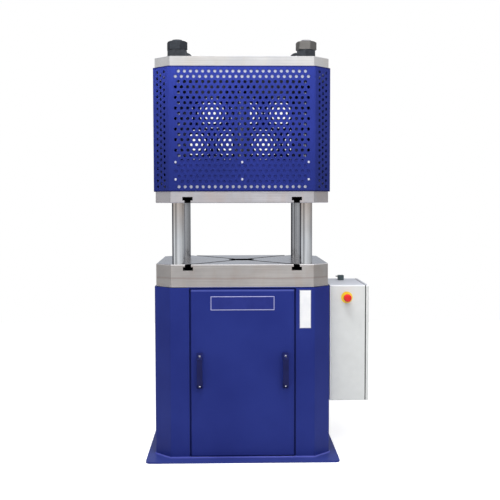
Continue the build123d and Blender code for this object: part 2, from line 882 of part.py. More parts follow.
# Piston rod: a spigot in the piston above, and a foot through its flange to the ram plate
rod_outline = [
    (0, ram_top),
    (rod_foot / 2, ram_top),
    (rod_foot / 2, rod_shoulder),
    (rod_diameter / 2, rod_shoulder),
    (rod_diameter / 2, piston_bottom),
    (rod_spigot / 2, piston_bottom),
    (rod_spigot / 2, piston_bottom + rod_spigot_length),
    (0, piston_bottom + rod_spigot_length),
]
with BuildPart() as piston_rod:
    revolve(upright(0, 0, rod_outline), axis=vertical_line(0, 0))
piston_rod.part.label = "piston_rod"
export_step(piston_rod.part, "parts/piston_rod.step")

# Flange that ties the rod's foot to the ram plate
with BuildPart() as rod_flange:
    with BuildSketch(Plane.XY.offset(ram_top)) as rod_flange_outline:
        Circle(rod_flange_diameter / 2)
        Circle(rod_foot / 2, mode=Mode.SUBTRACT)
        with PolarLocations(rod_bolt_circle / 2, rod_bolt_count):
            Circle(rod_bolt / 2 + thread_clearance, mode=Mode.SUBTRACT)
    extrude(amount=rod_flange_height)
rod_flange.part.label = "rod_flange"
export_step(rod_flange.part, "parts/rod_flange.step")

# Hexagon bolts down through the rod flange
with BuildPart() as rod_flange_bolts:
    with BuildSketch(Plane.XY.offset(rod_shoulder)) as rod_bolt_heads:
        with PolarLocations(rod_bolt_circle / 2, rod_bolt_count):
            RegularPolygon(rod_bolt_flats / 2, 6, major_radius=False)
    extrude(amount=rod_bolt_head)
    with BuildSketch(Plane.XY.offset(rod_shoulder)) as rod_bolt_shanks:
        with PolarLocations(rod_bolt_circle / 2, rod_bolt_count):
            Circle(rod_bolt / 2)
    extrude(amount=-rod_flange_height - rod_bolt_bite)
rod_flange_bolts.part.label = "rod_flange_bolts"
export_step(rod_flange_bolts.part, "parts/rod_flange_bolts.step")

# Front panel: a shallow tray that drops into the opening, with four pegs through the stop lip
panel_width = opening_width - 2 * panel_side_gap
panel_height = opening_height - 2 * panel_end_gap
panel_depth = frame_depth - frame_sheet - seat_gap
handle_screw_places = [
    (end * handle_x, handle_level - opening_middle + up * handle_screw_spacing / 2)
    for end in (-1, 1)
    for up in (-1, 1)
]
with BuildPart() as front_panel:
    with BuildSketch(front_wall) as panel_outline:
        Rectangle(panel_width, panel_height)
    extrude(amount=-panel_depth)
    fillet(front_panel.faces().sort_by(Axis.Y)[0].edges(), panel_bend)
    with BuildSketch(front_wall.offset(-panel_sheet)) as tray_hollow:
        Rectangle(panel_width - 2 * panel_sheet, panel_height - 2 * panel_sheet)
    extrude(amount=panel_sheet - panel_depth, mode=Mode.SUBTRACT)
    with BuildSketch(front_wall.offset(-panel_sheet)) as pegs:
        with GridLocations(2 * peg_x, 2 * peg_z, 2, 2):
            Circle(peg_diameter / 2)
    extrude(amount=panel_sheet - panel_depth - peg_length)
    with BuildSketch(front_wall) as panel_screw_holes:
        with Locations(*handle_screw_places):
            Circle(handle_screw / 2 + guard_screw_clearance)
    extrude(amount=-panel_sheet, mode=Mode.SUBTRACT)
front_panel.part.label = "front_panel"
export_step(front_panel.part, "parts/front_panel.step")

# Bow handles: a sloping foot at each end and a straight grip between
handle_outer = [
    (0, -handle_length / 2),
    (-handle_heel, -handle_length / 2),
    (-handle_reach, handle_slope - handle_length / 2),
    (-handle_reach, handle_length / 2 - handle_slope),
    (-handle_heel, handle_length / 2),
    (0, handle_length / 2),
]
handle_inner_reach = handle_reach - handle_grip
handle_inner = [
    (0, handle_foot - handle_length / 2),
    (-handle_inner_reach, handle_foot + handle_slope / 2 - handle_length / 2),
    (-handle_inner_reach, handle_length / 2 - handle_foot - handle_slope / 2),
    (0, handle_length / 2 - handle_foot),
]
with BuildPart() as handles:
    for end in (-1, 1):
        middle = Plane(
            origin=(end * handle_x, cabinet_front, handle_level), x_dir=(0, 1, 0), z_dir=(1, 0, 0)
        )
        with BuildSketch(middle) as bow:
            with BuildLine():
                Polyline(*handle_outer, close=True)
            make_face()
            fillet(bow.vertices().group_by(Axis.X)[0], handle_round)
        extrude(amount=handle_width / 2, both=True)
        with BuildSketch(middle) as finger_gap:
            with BuildLine():
                Polyline(*handle_inner, close=True)
            make_face()
            fillet(finger_gap.vertices().group_by(Axis.X)[0], handle_round)
        extrude(amount=handle_width / 2, both=True, mode=Mode.SUBTRACT)
    with BuildSketch(front_wall) as handle_holes:
        with Locations(*handle_screw_places):
            Circle(handle_screw / 2 + guard_screw_clearance)
    extrude(amount=handle_reach, mode=Mode.SUBTRACT)
    with BuildSketch(front_wall.offset(handle_heel)) as handle_recesses:
        with Locations(*handle_screw_places):
            Circle(handle_head / 2 + guard_screw_clearance)
    extrude(amount=handle_reach, mode=Mode.SUBTRACT)
handles.part.label = "handles"
export_step(handles.part, "parts/handles.step")

# Cap screws in the handles' feet
with BuildPart() as handle_screws:
    with BuildSketch(front_wall.offset(handle_heel)) as handle_heads:
        with Locations(*handle_screw_places):
            Circle(handle_head / 2)
    extrude(amount=handle_head_height)
    with BuildSketch(front_wall.offset(handle_heel)) as handle_shanks:
        with Locations(*handle_screw_places):
            Circle(handle_screw / 2)
    extrude(amount=-handle_heel - panel_sheet)
handle_screws.part.label = "handle_screws"
export_step(handle_screws.part, "parts/handle_screws.step")

# Bare sign plate on the panel
with BuildPart() as sign_plate:
    with BuildSketch(wall_plane(0, cabinet_front, sign_level, 0, -1)) as sign_outline:
        Rectangle(sign_width, sign_height)
    extrude(amount=sign_sheet)
sign_plate.part.label = "sign_plate"
export_step(sign_plate.part, "parts/sign_plate.step")

# Bare upright plate beside the panel
with BuildPart() as side_plate:
    with BuildSketch(wall_plane(side_plate_x, cabinet_front, side_plate_level, 0, -1)) as side_outline:
        Rectangle(side_plate_width, side_plate_height)
    extrude(amount=sign_sheet)
side_plate.part.label = "side_plate"
export_step(side_plate.part, "parts/side_plate.step")

# Oil tank: an open-topped welded box on the base plate
tank_top = base_thickness + tank_height
lid_top = tank_top + lid_thickness
with BuildPart() as oil_tank:
    with BuildSketch(Plane.XY.offset(base_thickness)) as tank_outline:
        with Locations((0, tank_y)):
            Rectangle(tank_length, tank_width)
    extrude(amount=tank_height)
    with BuildSketch(Plane.XY.offset(base_thickness + tank_sheet)) as tank_hollow:
        with Locations((0, tank_y)):
            Rectangle(tank_length - 2 * tank_sheet, tank_width - 2 * tank_sheet)
    extrude(amount=tank_height, mode=Mode.SUBTRACT)
oil_tank.part.label = "oil_tank"
export_step(oil_tank.part, "parts/oil_tank.step")

# Tank lid, with openings for the pump and the filler neck
with BuildPart() as tank_lid:
    with BuildSketch(Plane.XY.offset(tank_top)) as lid_outline:
        with Locations((0, tank_y)):
            Rectangle(tank_length + 2 * lid_overhang, tank_width + 2 * lid_overhang)
        with Locations((motor_x, motor_y)):
            Circle(bell_waist_diameter / 2, mode=Mode.SUBTRACT)
        with Locations((filler_x, filler_y)):
            Circle(filler_neck / 2 + filler_neck_clearance, mode=Mode.SUBTRACT)
        with Locations((pipe_x, motor_y)):
            Circle(pipe_diameter / 2, mode=Mode.SUBTRACT)
    extrude(amount=lid_thickness)
tank_lid.part.label = "tank_lid"
export_step(tank_lid.part, "parts/tank_lid.step")

# Bell housing between the lid and the motor
bell_top = lid_top + bell_height
bell_outline = [
    (bell_waist_diameter / 2 - bell_wall, lid_top),
    (bell_foot_diameter / 2, lid_top),
    (bell_foot_diameter / 2, lid_top + bell_wall),
    (bell_waist_diameter / 2, lid_top + bell_wall),
    (bell_waist_diameter / 2, bell_top - bell_wall),
    (motor_flange_diameter / 2, bell_top - bell_wall),
    (motor_flange_diameter / 2, bell_top),
    (bell_waist_diameter / 2 - bell_wall, bell_top),
]
with BuildPart() as bell_housing:
    revolve(upright(motor_x, motor_y, bell_outline), axis=vertical_line(motor_x, motor_y))
bell_housing.part.label = "bell_housing"
export_step(bell_housing.part, "parts/bell_housing.step")

# Upright electric motor: flange, finned body and terminal box, cast as one
motor_bottom = bell_top
motor_top = motor_bottom + motor_flange_height + motor_height
box_length, box_width, box_height = terminal_box
with BuildPart() as motor:
    extrude(level_disc(motor_bottom, motor_flange_diameter, [(motor_x, motor_y)]), amount=motor_flange_height)
    extrude(level_disc(motor_bottom, motor_diameter, [(motor_x, motor_y)]), amount=motor_top - motor_bottom)
    with BuildSketch(Plane.XY.offset(motor_bottom + 2 * motor_flange_height)) as fin_gaps:
        with Locations((motor_x, motor_y)):
            with PolarLocations((motor_core + motor_diameter) / 4, motor_fins):
                Rectangle((motor_diameter - motor_core) / 2, fin_slot)
    extrude(amount=motor_height, mode=Mode.SUBTRACT)
    with BuildSketch(Plane.XY.offset((motor_bottom + motor_top - box_height) / 2)) as box_outline:
        with Locations((motor_x, motor_y - motor_core / 2 - box_length / 2)):
            Rectangle(box_width, box_length)
    extrude(amount=box_height)
motor.part.label = "motor"
export_step(motor.part, "parts/motor.step")

# Fan cowl on the motor's top, with slots for the air
cowl_outline = [
    (motor_core / 2, motor_top),
    (cowl_diameter / 2, motor_top),
    (cowl_diameter / 2, motor_top + cowl_height),
    (0, motor_top + cowl_height),
    (0, motor_top + cowl_height - cowl_sheet),
    (cowl_diameter / 2 - cowl_sheet, motor_top + cowl_height - cowl_sheet),
    (cowl_diameter / 2 - cowl_sheet, motor_top + cowl_sheet),
    (motor_core / 2, motor_top + cowl_sheet),
]
with BuildPart() as fan_cowl:
    revolve(upright(motor_x, motor_y, cowl_outline), axis=vertical_line(motor_x, motor_y))
    with BuildSketch(Plane.XY.offset(motor_top + cowl_height)) as cowl_vents:
        with Locations((motor_x, motor_y)):
            with PolarLocations(cowl_diameter / 4, cowl_vent_count):
                SlotOverall(cowl_diameter / 4, cowl_vent)
    extrude(amount=-cowl_sheet, mode=Mode.SUBTRACT)
fan_cowl.part.label = "fan_cowl"
export_step(fan_cowl.part, "parts/fan_cowl.step")

# Gear pump that hangs below the bell housing in the oil, with its suction pipe
pump_top = lid_top
pump_bottom = pump_top - pump_length
pump_inlet = base_thickness + tank_sheet + pump_inlet_gap
pump_neck = bell_waist_diameter - 2 * bell_wall
with BuildPart() as gear_pump:
    extrude(level_disc(tank_top, pump_neck, [(motor_x, motor_y)]), amount=lid_thickness + bell_height)
    with BuildSketch(Plane.XY.offset(pump_bottom)) as pump_outline:
        with Locations((motor_x, motor_y)):
            Rectangle(pump_side, pump_side)
    extrude(amount=tank_top - pump_bottom)
    extrude(level_disc(pump_bottom, pump_pipe, [(motor_x, motor_y)]), amount=pump_inlet - pump_bottom)
gear_pump.part.label = "gear_pump"
export_step(gear_pump.part, "parts/gear_pump.step")

# Valve block on the lid
block_length, block_width, block_height = block_size
block_top = lid_top + block_height
pipe_level = lid_top + pipe_rise
with BuildPart() as valve_block:
    with BuildSketch(Plane.XY.offset(lid_top)) as block_outline:
        with Locations((block_x, block_y)):
            Rectangle(block_length, block_width)
    extrude(amount=block_height)
    chamfer(valve_block.edges().filter_by(Axis.Z), block_bevel)
valve_block.part.label = "valve_block"
export_step(valve_block.part, "parts/valve_block.step")

# Solenoid valve on the block: a body with a coil at each end
valve_length, valve_width, valve_height = valve_size
with BuildPart() as solenoid_valve:
    with BuildSketch(Plane.XY.offset(block_top)) as valve_outline:
        with Locations((block_x, block_y)):
            Rectangle(valve_length, valve_width)
    extrude(amount=valve_height)
    with BuildSketch(wall_plane(block_x, block_y, block_top + valve_height / 2, 0, 1)) as coils:
        Circle(coil_diameter / 2)
    extrude(amount=valve_width / 2 + coil_length, both=True)
solenoid_valve.part.label = "solenoid_valve"
export_step(solenoid_valve.part, "parts/solenoid_valve.step")

# Pressure gauge at the front of the block
gauge_level = lid_top + gauge_rise
port_level = lid_top + block_height / 2
gauge_y = block_y - block_width / 2
with BuildPart() as pressure_gauge:
    with BuildSketch(wall_plane(block_x, gauge_y, gauge_level, 0, -1)) as stem_outline:
        Circle(gauge_stem / 2)
    extrude(amount=gauge_stem_length)
    with BuildSketch(wall_plane(block_x, gauge_y - gauge_stem_length, gauge_level, 0, -1)) as case_outline:
        Circle(gauge_diameter / 2)
    extrude(amount=gauge_depth)
pressure_gauge.part.label = "pressure_gauge"
export_step(pressure_gauge.part, "parts/pressure_gauge.step")

# Filler and breather cap that turns in the lid
filler_outline = [
    (0, lid_top - lid_thickness - filler_neck_depth),
    (filler_neck / 2, lid_top - lid_thickness - filler_neck_depth),
    (filler_neck / 2, lid_top + seat_gap),
    (filler_diameter / 2, lid_top + seat_gap),
    (filler_diameter / 2, lid_top + filler_height),
    (0, lid_top + filler_height),
]
with BuildPart() as filler_cap:
    revolve(upright(filler_x, filler_y, filler_outline), axis=vertical_line(filler_x, filler_y))
filler_cap.part.label = "filler_cap"
export_step(filler_cap.part, "parts/filler_cap.step")

# Rigid pressure pipe from the lid to the side of the block
pipe_end = block_x - block_length / 2
pipe_route = FilletPolyline(
    (pipe_x, motor_y, tank_top),
    (pipe_x, motor_y, pipe_level),
    (pipe_end, motor_y, pipe_level),
    radius=pipe_bend,
)
with BuildPart() as pressure_pipe:
    with BuildSketch(Plane.XY.offset(tank_top)) as pipe_section:
        with Locations((pipe_x, motor_y)):
            Circle(pipe_diameter / 2)
    sweep(path=pipe_route)
pressure_pipe.part.label = "pressure_pipe"
export_step(pressure_pipe.part, "parts/pressure_pipe.step")

# Screwed hose fittings: two on the barrel's bosses, two on the valve block
fitting_planes = [
    wall_plane(0, barrel_diameter / 2 + port_boss_length, level, 0, 1) for level in port_levels
] + [
    wall_plane(block_x + block_length / 2, block_y + shift, port_level, 1, 0)
    for shift in (-block_width / 4, block_width / 4)
]
with BuildPart() as hose_fittings:
    for plane in fitting_planes:
        with BuildSketch(plane) as fitting_hexagon:
            RegularPolygon(fitting_flats / 2, 6, major_radius=False)
            Circle(fitting_bore / 2, mode=Mode.SUBTRACT)
        extrude(amount=fitting_height)
        with BuildSketch(plane.offset(fitting_height)) as fitting_end:
            Circle(fitting_tube / 2)
            Circle(fitting_bore / 2, mode=Mode.SUBTRACT)
        extrude(amount=fitting_tube_length)
hose_fittings.part.label = "hose_fittings"
export_step(hose_fittings.part, "parts/hose_fittings.step")

# Bracket of a plate and two rails between the cabinet and the enclosure
side_wall = wall_plane(cabinet_side, enclosure_y, enclosure_level, 1, 0)
rail_y = bracket_length / 2 - bracket_rail / 2 - bracket_rail_inset
with BuildPart() as enclosure_bracket:
    with BuildSketch(side_wall) as bracket_outline:
        Rectangle(bracket_length, bracket_height)
        with Locations((-enclosure_y, cable_level - enclosure_level)):
            Circle(cable_hole / 2, mode=Mode.SUBTRACT)
    extrude(amount=bracket_plate)
    with BuildSketch(side_wall.offset(bracket_plate)) as rails:
        with GridLocations(2 * rail_y, 0, 2, 1):
            Rectangle(bracket_rail, bracket_height)
    extrude(amount=enclosure_stand_off - bracket_plate)
enclosure_bracket.part.label = "enclosure_bracket"
export_step(enclosure_bracket.part, "parts/enclosure_bracket.step")

# Enclosure body: a sheet box open towards +X, with a rim, studs, hinge knuckles and their pins
hinge_x = enclosure_open + door_seal_gap + hinge_knuckle / 2
rear_face = enclosure_front + enclosure_length
hinge_y = rear_face + hinge_offset
hinge_levels = (enclosure_bottom + hinge_inset, enclosure_top - hinge_inset)
stop_wall = wall_plane(stop_x, enclosure_front, stop_level, 0, -1)
plate_length = enclosure_length - 2 * mounting_plate_margin
plate_height = enclosure_height - 2 * mounting_plate_margin
stud_y = plate_length / 2 - mounting_stud
stud_z = plate_height / 2 - mounting_stud
back_wall = wall_plane(enclosure_back, enclosure_y, enclosure_level, 1, 0)
with BuildPart() as enclosure_body:
    with BuildSketch(back_wall) as box_wall:
        Rectangle(enclosure_length, enclosure_height)
    extrude(amount=enclosure_reach)
    folds = enclosure_body.edges().filter_by(Axis.X) + enclosure_body.faces().sort_by(Axis.X)[0].edges()
    fillet(folds, enclosure_bend)
    with BuildSketch(back_wall.offset(enclosure_sheet)) as box_hollow:
        Rectangle(enclosure_length - 2 * enclosure_sheet, enclosure_height - 2 * enclosure_sheet)
    extrude(amount=enclosure_reach - 2 * enclosure_sheet, mode=Mode.SUBTRACT)
    with BuildSketch(back_wall.offset(enclosure_reach)) as rim_hole:
        Rectangle(enclosure_length - 2 * enclosure_rim, enclosure_height - 2 * enclosure_rim)
    extrude(amount=-enclosure_sheet, mode=Mode.SUBTRACT)
    with BuildSketch(back_wall.offset(enclosure_sheet)) as studs:
        with GridLocations(2 * stud_y, 2 * stud_z, 2, 2):
            Circle(mounting_stud / 2)
    extrude(amount=mounting_stud_height)
    with BuildSketch(back_wall) as wall_cable_hole:
        with Locations((-enclosure_y, cable_level - enclosure_level)):
            Circle(cable_hole / 2)
    extrude(amount=enclosure_sheet, mode=Mode.SUBTRACT)
    with BuildSketch(stop_wall) as stop_hole:
        Circle(stop_thread / 2)
    extrude(amount=-enclosure_sheet, mode=Mode.SUBTRACT)
    for level in hinge_levels:
        with BuildSketch(Plane.XY.offset(level - hinge_half)) as body_knuckle:
            with Locations((hinge_x, hinge_y)):
                Circle(hinge_knuckle / 2)
            with Locations((enclosure_open - hinge_block / 2, (rear_face + hinge_y) / 2)):
                Rectangle(hinge_block, hinge_offset)
            with Locations(((enclosure_open + hinge_x) / 2, hinge_y - hinge_leaf / 2)):
                Rectangle(hinge_x - enclosure_open, hinge_leaf)
        extrude(amount=hinge_half - knuckle_gap / 2)
        extrude(level_disc(level, hinge_pin, [(hinge_x, hinge_y)]), amount=hinge_half)
        extrude(level_disc(level, hinge_pin, [(hinge_x, hinge_y)]), amount=-hinge_half / 2)
enclosure_body.part.label = "enclosure_body"
export_step(enclosure_body.part, "parts/enclosure_body.step")

# Door: a shallow sheet tray with its own knuckles above those of the body
door_back = enclosure_open + door_seal_gap
door_wall = wall_plane(door_back, enclosure_y, enclosure_level, 1, 0)
lock_y = enclosure_front + lock_inset_y
lock_levels = (enclosure_bottom + lock_inset_z, enclosure_top - lock_inset_z)
lock_places = [(lock_y - enclosure_y, level - enclosure_level) for level in lock_levels]
with BuildPart() as enclosure_door:
    with BuildSketch(door_wall) as door_outline:
        Rectangle(enclosure_length, enclosure_height)
    extrude(amount=door_thickness)
    folds = enclosure_door.edges().filter_by(Axis.X) + enclosure_door.faces().sort_by(Axis.X)[-1].edges()
    fillet(folds, enclosure_bend)
    with BuildSketch(door_wall) as door_hollow:
        Rectangle(enclosure_length - 2 * door_sheet, enclosure_height - 2 * door_sheet)
    extrude(amount=door_thickness - door_sheet, mode=Mode.SUBTRACT)
    with BuildSketch(door_wall) as lock_holes:
        with Locations(*lock_places):
            Circle(lock_diameter / 2 + lock_hole_clearance)
    extrude(amount=door_thickness, mode=Mode.SUBTRACT)
    for level in hinge_levels:
        with BuildSketch(Plane.XY.offset(level + knuckle_gap / 2)) as door_knuckle:
            with Locations((hinge_x, hinge_y)):
                Circle(hinge_knuckle / 2)
            with Locations((hinge_x, (rear_face + hinge_y) / 2)):
                Rectangle(hinge_leaf, hinge_y - rear_face)
            with Locations((hinge_x, hinge_y)):
                Circle(hinge_pin / 2 + running_fit, mode=Mode.SUBTRACT)
        extrude(amount=hinge_half - knuckle_gap / 2)
enclosure_door.part.label = "enclosure_door"
export_step(enclosure_door.part, "parts/enclosure_door.step")

# Door seal: a rubber frame on the body's rim, just short of the door
seal_outer_length = enclosure_length - 2 * enclosure_sheet
seal_outer_height = enclosure_height - 2 * enclosure_sheet
with BuildPart() as door_seal:
    with BuildSketch(back_wall.offset(enclosure_reach)) as seal_section:
        Rectangle(seal_outer_length, seal_outer_height)
        Rectangle(seal_outer_length - 2 * seal_width, seal_outer_height - 2 * seal_width, mode=Mode.SUBTRACT)
    extrude(amount=door_seal_gap - seat_gap)
door_seal.part.label = "door_seal"
export_step(door_seal.part, "parts/door_seal.step")

# Quarter-turn locks: a slotted head outside the door, a shaft and a cam behind the rim
cam_level_x = enclosure_open - enclosure_sheet - seat_gap
lock_outer = door_back + door_thickness
for name, level in (("lower", lock_levels[0]), ("upper", lock_levels[1])):
    lock_face = wall_plane(lock_outer, lock_y, level, 1, 0)
    with BuildPart() as door_lock:
        with BuildSketch(lock_face.offset(-door_sheet)) as lock_body:
            Circle(lock_diameter / 2)
        extrude(amount=door_sheet + lock_head_height)
        with BuildSketch(lock_face.offset(lock_head_height)) as lock_slot_outline:
            Rectangle(lock_slot, lock_slot_length)
        extrude(amount=-lock_slot_depth, mode=Mode.SUBTRACT)
        with BuildSketch(wall_plane(cam_level_x - lock_cam_sheet, lock_y, level, 1, 0)) as lock_shaft_outline:
            Circle(lock_shaft / 2)
        extrude(amount=lock_outer - door_sheet - cam_level_x + lock_cam_sheet)
        with BuildSketch(wall_plane(cam_level_x - lock_cam_sheet, lock_y, level, 1, 0)) as cam_outline:
            with Locations((0, (lock_cam_length - lock_cam_width) / 2)):
                Rectangle(lock_cam_width, lock_cam_length)
        extrude(amount=lock_cam_sheet)
    door_lock.part.label = f"door_lock_{name}"
    export_step(door_lock.part, f"parts/door_lock_{name}.step")

# Mounting plate on the studs inside the enclosure
mounting_x = enclosure_back + enclosure_sheet + mounting_stud_height
with BuildPart() as mounting_plate:
    with BuildSketch(wall_plane(mounting_x, enclosure_y, enclosure_level, 1, 0)) as mounting_outline:
        Rectangle(plate_length, plate_height)
        with Locations((-enclosure_y, cable_level - enclosure_level)):
            Circle(cable_hole / 2, mode=Mode.SUBTRACT)
    extrude(amount=mounting_plate_sheet)
mounting_plate.part.label = "mounting_plate"
export_step(mounting_plate.part, "parts/mounting_plate.step")

# Switchgear on the mounting plate: rails with the control devices clipped on
gear_plane = wall_plane(mounting_x + mounting_plate_sheet, enclosure_y, enclosure_level, 1, 0)
with BuildPart() as switchgear:
    with BuildSketch(gear_plane) as device_rails:
        with Locations((0, lower_rail), (0, upper_rail)):
            Rectangle(plate_length - rail_inset, rail_height)
    extrude(amount=rail_thickness)
    for level, devices in ((lower_rail, lower_devices), (upper_rail, upper_devices)):
        for place, width, height, depth in devices:
            with BuildSketch(gear_plane.offset(rail_thickness)) as device:
                with Locations((place, level)):
                    Rectangle(width, height)
            extrude(amount=depth)
switchgear.part.label = "switchgear"
export_step(switchgear.part, "parts/switchgear.step")

# Emergency stop: yellow ring, fixed collar, sliding stem and turning mushroom head
with BuildPart() as stop_ring:
    with BuildSketch(stop_wall) as ring_outline:
        Circle(stop_ring_diameter / 2)
        Circle(stop_thread / 2, mode=Mode.SUBTRACT)
    extrude(amount=stop_ring_sheet)
stop_ring.part.label = "stop_ring"
export_step(stop_ring.part, "parts/stop_ring.step")

stem_hole = stem_diameter / 2 + running_fit
with BuildPart() as stop_collar:
    with BuildSketch(stop_wall.offset(stop_ring_sheet)) as collar_outline:
        Circle(stop_collar_diameter / 2)
    extrude(amount=stop_collar_height)
    with BuildSketch(stop_wall.offset(stop_ring_sheet)) as collar_thread:
        Circle(stop_thread / 2)
    extrude(amount=-stop_ring_sheet - stop_thread_length)
    with BuildSketch(stop_wall.offset(stop_ring_sheet + stop_collar_height)) as collar_bore:
        Circle(stem_hole)
    extrude(amount=-stop_ring_sheet - stop_collar_height - stop_thread_length, mode=Mode.SUBTRACT)
stop_collar.part.label = "stop_collar"
export_step(stop_collar.part, "parts/stop_collar.step")

collar_face = stop_ring_sheet + stop_collar_height
head_back = collar_face + stop_head_gap
stem_socket = stop_head_height / 2
with BuildPart() as stop_stem:
    with BuildSketch(stop_wall.offset(-stop_thread_length + stop_push + seat_gap)) as stem_outline:
        Circle(stem_diameter / 2)
    extrude(amount=stop_thread_length - stop_push - seat_gap + head_back + stem_socket - seat_gap)
stop_stem.part.label = "stop_stem"
export_step(stop_stem.part, "parts/stop_stem.step")

with BuildPart() as stop_button:
    with BuildSketch(stop_wall.offset(head_back)) as head_outline:
        Circle(stop_head_diameter / 2)
    extrude(amount=stop_head_height)
    fillet(stop_button.faces().sort_by(Axis.Y)[0].edges(), stop_head_dome)
    with BuildSketch(stop_wall.offset(head_back)) as stem_seat:
        Circle(stem_hole)
    extrude(amount=stem_socket, mode=Mode.SUBTRACT)
stop_button.part.label = "stop_button"
export_step(stop_button.part, "parts/stop_button.step")

# Cable socket on the enclosure's top, with a spring cap hinged at its back
socket_top = enclosure_top + socket_height
with BuildPart() as cable_socket:
    with BuildSketch(Plane.XY.offset(enclosure_top)) as socket_outline:
        with Locations((socket_x, socket_y)):
            Rectangle(socket_width, socket_depth)
    extrude(amount=socket_height)
    with BuildSketch(Plane.XY.offset(enclosure_top + socket_floor)) as socket_hollow:
        with Locations((socket_x, socket_y)):
            Rectangle(socket_width - 2 * socket_wall, socket_depth - 2 * socket_wall)
    extrude(amount=socket_height, mode=Mode.SUBTRACT)
cable_socket.part.label = "cable_socket"
export_step(cable_socket.part, "parts/cable_socket.step")

with BuildPart() as socket_cap:
    with BuildSketch(Plane.XY.offset(socket_top + cap_gap)) as cap_outline:
        with Locations((socket_x, socket_y)):
            Rectangle(socket_width, socket_depth)
    extrude(amount=cap_height)
    with BuildSketch(Plane.XY.offset(socket_top + cap_gap)) as cap_tab_outline:
        with Locations((socket_x - (socket_width + cap_tab) / 2, socket_y)):
            Rectangle(cap_tab, socket_depth / 2)
    extrude(amount=cap_tab_height)
socket_cap.part.label = "socket_cap"
export_step(socket_cap.part, "parts/socket_cap.step")
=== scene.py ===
import math
import bmesh
import bpy
from mathutils import Matrix, Vector


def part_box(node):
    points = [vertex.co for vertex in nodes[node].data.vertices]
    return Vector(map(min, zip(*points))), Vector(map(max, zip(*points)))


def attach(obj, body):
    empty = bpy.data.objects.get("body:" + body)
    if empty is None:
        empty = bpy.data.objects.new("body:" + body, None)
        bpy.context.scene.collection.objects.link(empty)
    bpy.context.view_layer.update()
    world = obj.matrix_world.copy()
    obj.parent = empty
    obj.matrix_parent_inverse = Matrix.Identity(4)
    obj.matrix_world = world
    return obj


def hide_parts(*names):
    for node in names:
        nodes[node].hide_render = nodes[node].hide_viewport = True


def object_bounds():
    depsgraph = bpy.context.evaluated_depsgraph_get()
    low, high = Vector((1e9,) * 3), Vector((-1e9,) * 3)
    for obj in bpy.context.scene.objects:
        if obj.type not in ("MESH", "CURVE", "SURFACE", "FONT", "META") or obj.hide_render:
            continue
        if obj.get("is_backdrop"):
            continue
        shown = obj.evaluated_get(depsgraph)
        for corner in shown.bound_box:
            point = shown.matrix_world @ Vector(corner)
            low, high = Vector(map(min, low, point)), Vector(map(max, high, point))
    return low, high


# Upright four-column hydraulic press with a slotted table, a perforated guard and a control
# enclosure on its right side. Metres, X to the right, Y to the back, Z up from the floor.
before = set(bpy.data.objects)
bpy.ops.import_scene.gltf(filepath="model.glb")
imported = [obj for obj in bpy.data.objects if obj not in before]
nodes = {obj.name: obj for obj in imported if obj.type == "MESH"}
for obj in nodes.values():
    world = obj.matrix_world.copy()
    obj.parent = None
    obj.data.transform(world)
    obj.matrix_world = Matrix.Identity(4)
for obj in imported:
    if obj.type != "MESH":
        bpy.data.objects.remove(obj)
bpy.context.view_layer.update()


# Studio: a white floor that fades into a white wall, with soft lamps above and beside the press.
# The camera stands in front at chest height, a little left of the middle, and looks slightly down.
def linear(colour):
    """Linear RGBA of an sRGB hex colour."""
    channels = [int(colour[start:start + 2], 16) / 255 for start in (1, 3, 5)]
    return (*[c / 12.92 if c <= 0.04045 else ((c + 0.055) / 1.055) ** 2.4 for c in channels], 1)


def add_node(tree, kind, settings=None, links=None, stops=None):
    """A new node with its input values or properties, its incoming links and its ramp's colours."""
    node = tree.nodes.new(kind)
    for name, value in (settings or {}).items():
        if isinstance(name, int) or name in node.inputs:
            node.inputs[name].default_value = value
        else:
            setattr(node, name, value)
    for name, source in (links or {}).items():
        tree.links.new(source, node.inputs[name])
    for place, (position, colour) in enumerate(stops or []):
        ramp = node.color_ramp.elements
        stop = ramp[place] if place < 2 else ramp.new(position)
        stop.position = position
        stop.color = linear(colour)
    return node


camera_place = Vector((-0.0544, -4.663, 1.2987))
yaw, pitch, roll = math.radians(1.23), math.radians(3.25), math.radians(-0.11)
forward = Vector((math.sin(yaw) * math.cos(pitch), math.cos(yaw) * math.cos(pitch), -math.sin(pitch)))
level_right = Vector((math.cos(yaw), -math.sin(yaw), 0))
level_up = level_right.cross(forward)
right = level_right * math.cos(roll) + level_up * math.sin(roll)
up = level_up * math.cos(roll) - level_right * math.sin(roll)
bpy.ops.object.camera_add(location=camera_place)
camera = bpy.context.object
camera.name = "camera"
camera.matrix_world = Matrix.LocRotScale(camera_place, Matrix((right, up, -forward)).transposed(), None)
camera.data.sensor_width = 36
camera.data.lens = 62.3
bpy.context.scene.camera = camera
bpy.context.scene.view_settings.view_transform = "Standard"

# Softboxes: place, point aimed at, width, height and power in watts
for name, place, aim, width, height, power in (
    ("front_softbox", (0.5, -3.6, 3.4), (0, 0, 1.3), 2.6, 1.8, 55),
    ("upper_softbox", (-0.3, -0.78, 2.6), (-0.1, -0.38, 1.9), 2.0, 0.3, 42),
    ("left_softbox", (-3.4, -1.6, 2.2), (0, 0, 1.2), 1.2, 2.2, 3),
    ("right_softbox", (3.6, -2.2, 2.0), (0, 0, 1.0), 1.4, 2.4, 5),
    ("back_softbox", (0.6, 3.6, 3.2), (0, 0, 1.3), 2.4, 1.6, 12),
):
    bpy.ops.object.light_add(type="AREA", location=place)
    lamp = bpy.context.object
    lamp.name = name
    lamp.rotation_euler = (Vector(aim) - Vector(place)).to_track_quat("-Z", "Y").to_euler()
    lamp.data.shape = "RECTANGLE"
    lamp.data.size = width
    lamp.data.size_y = height
    lamp.data.energy = power
    lamp.visible_camera = False
    lamp.visible_glossy = False

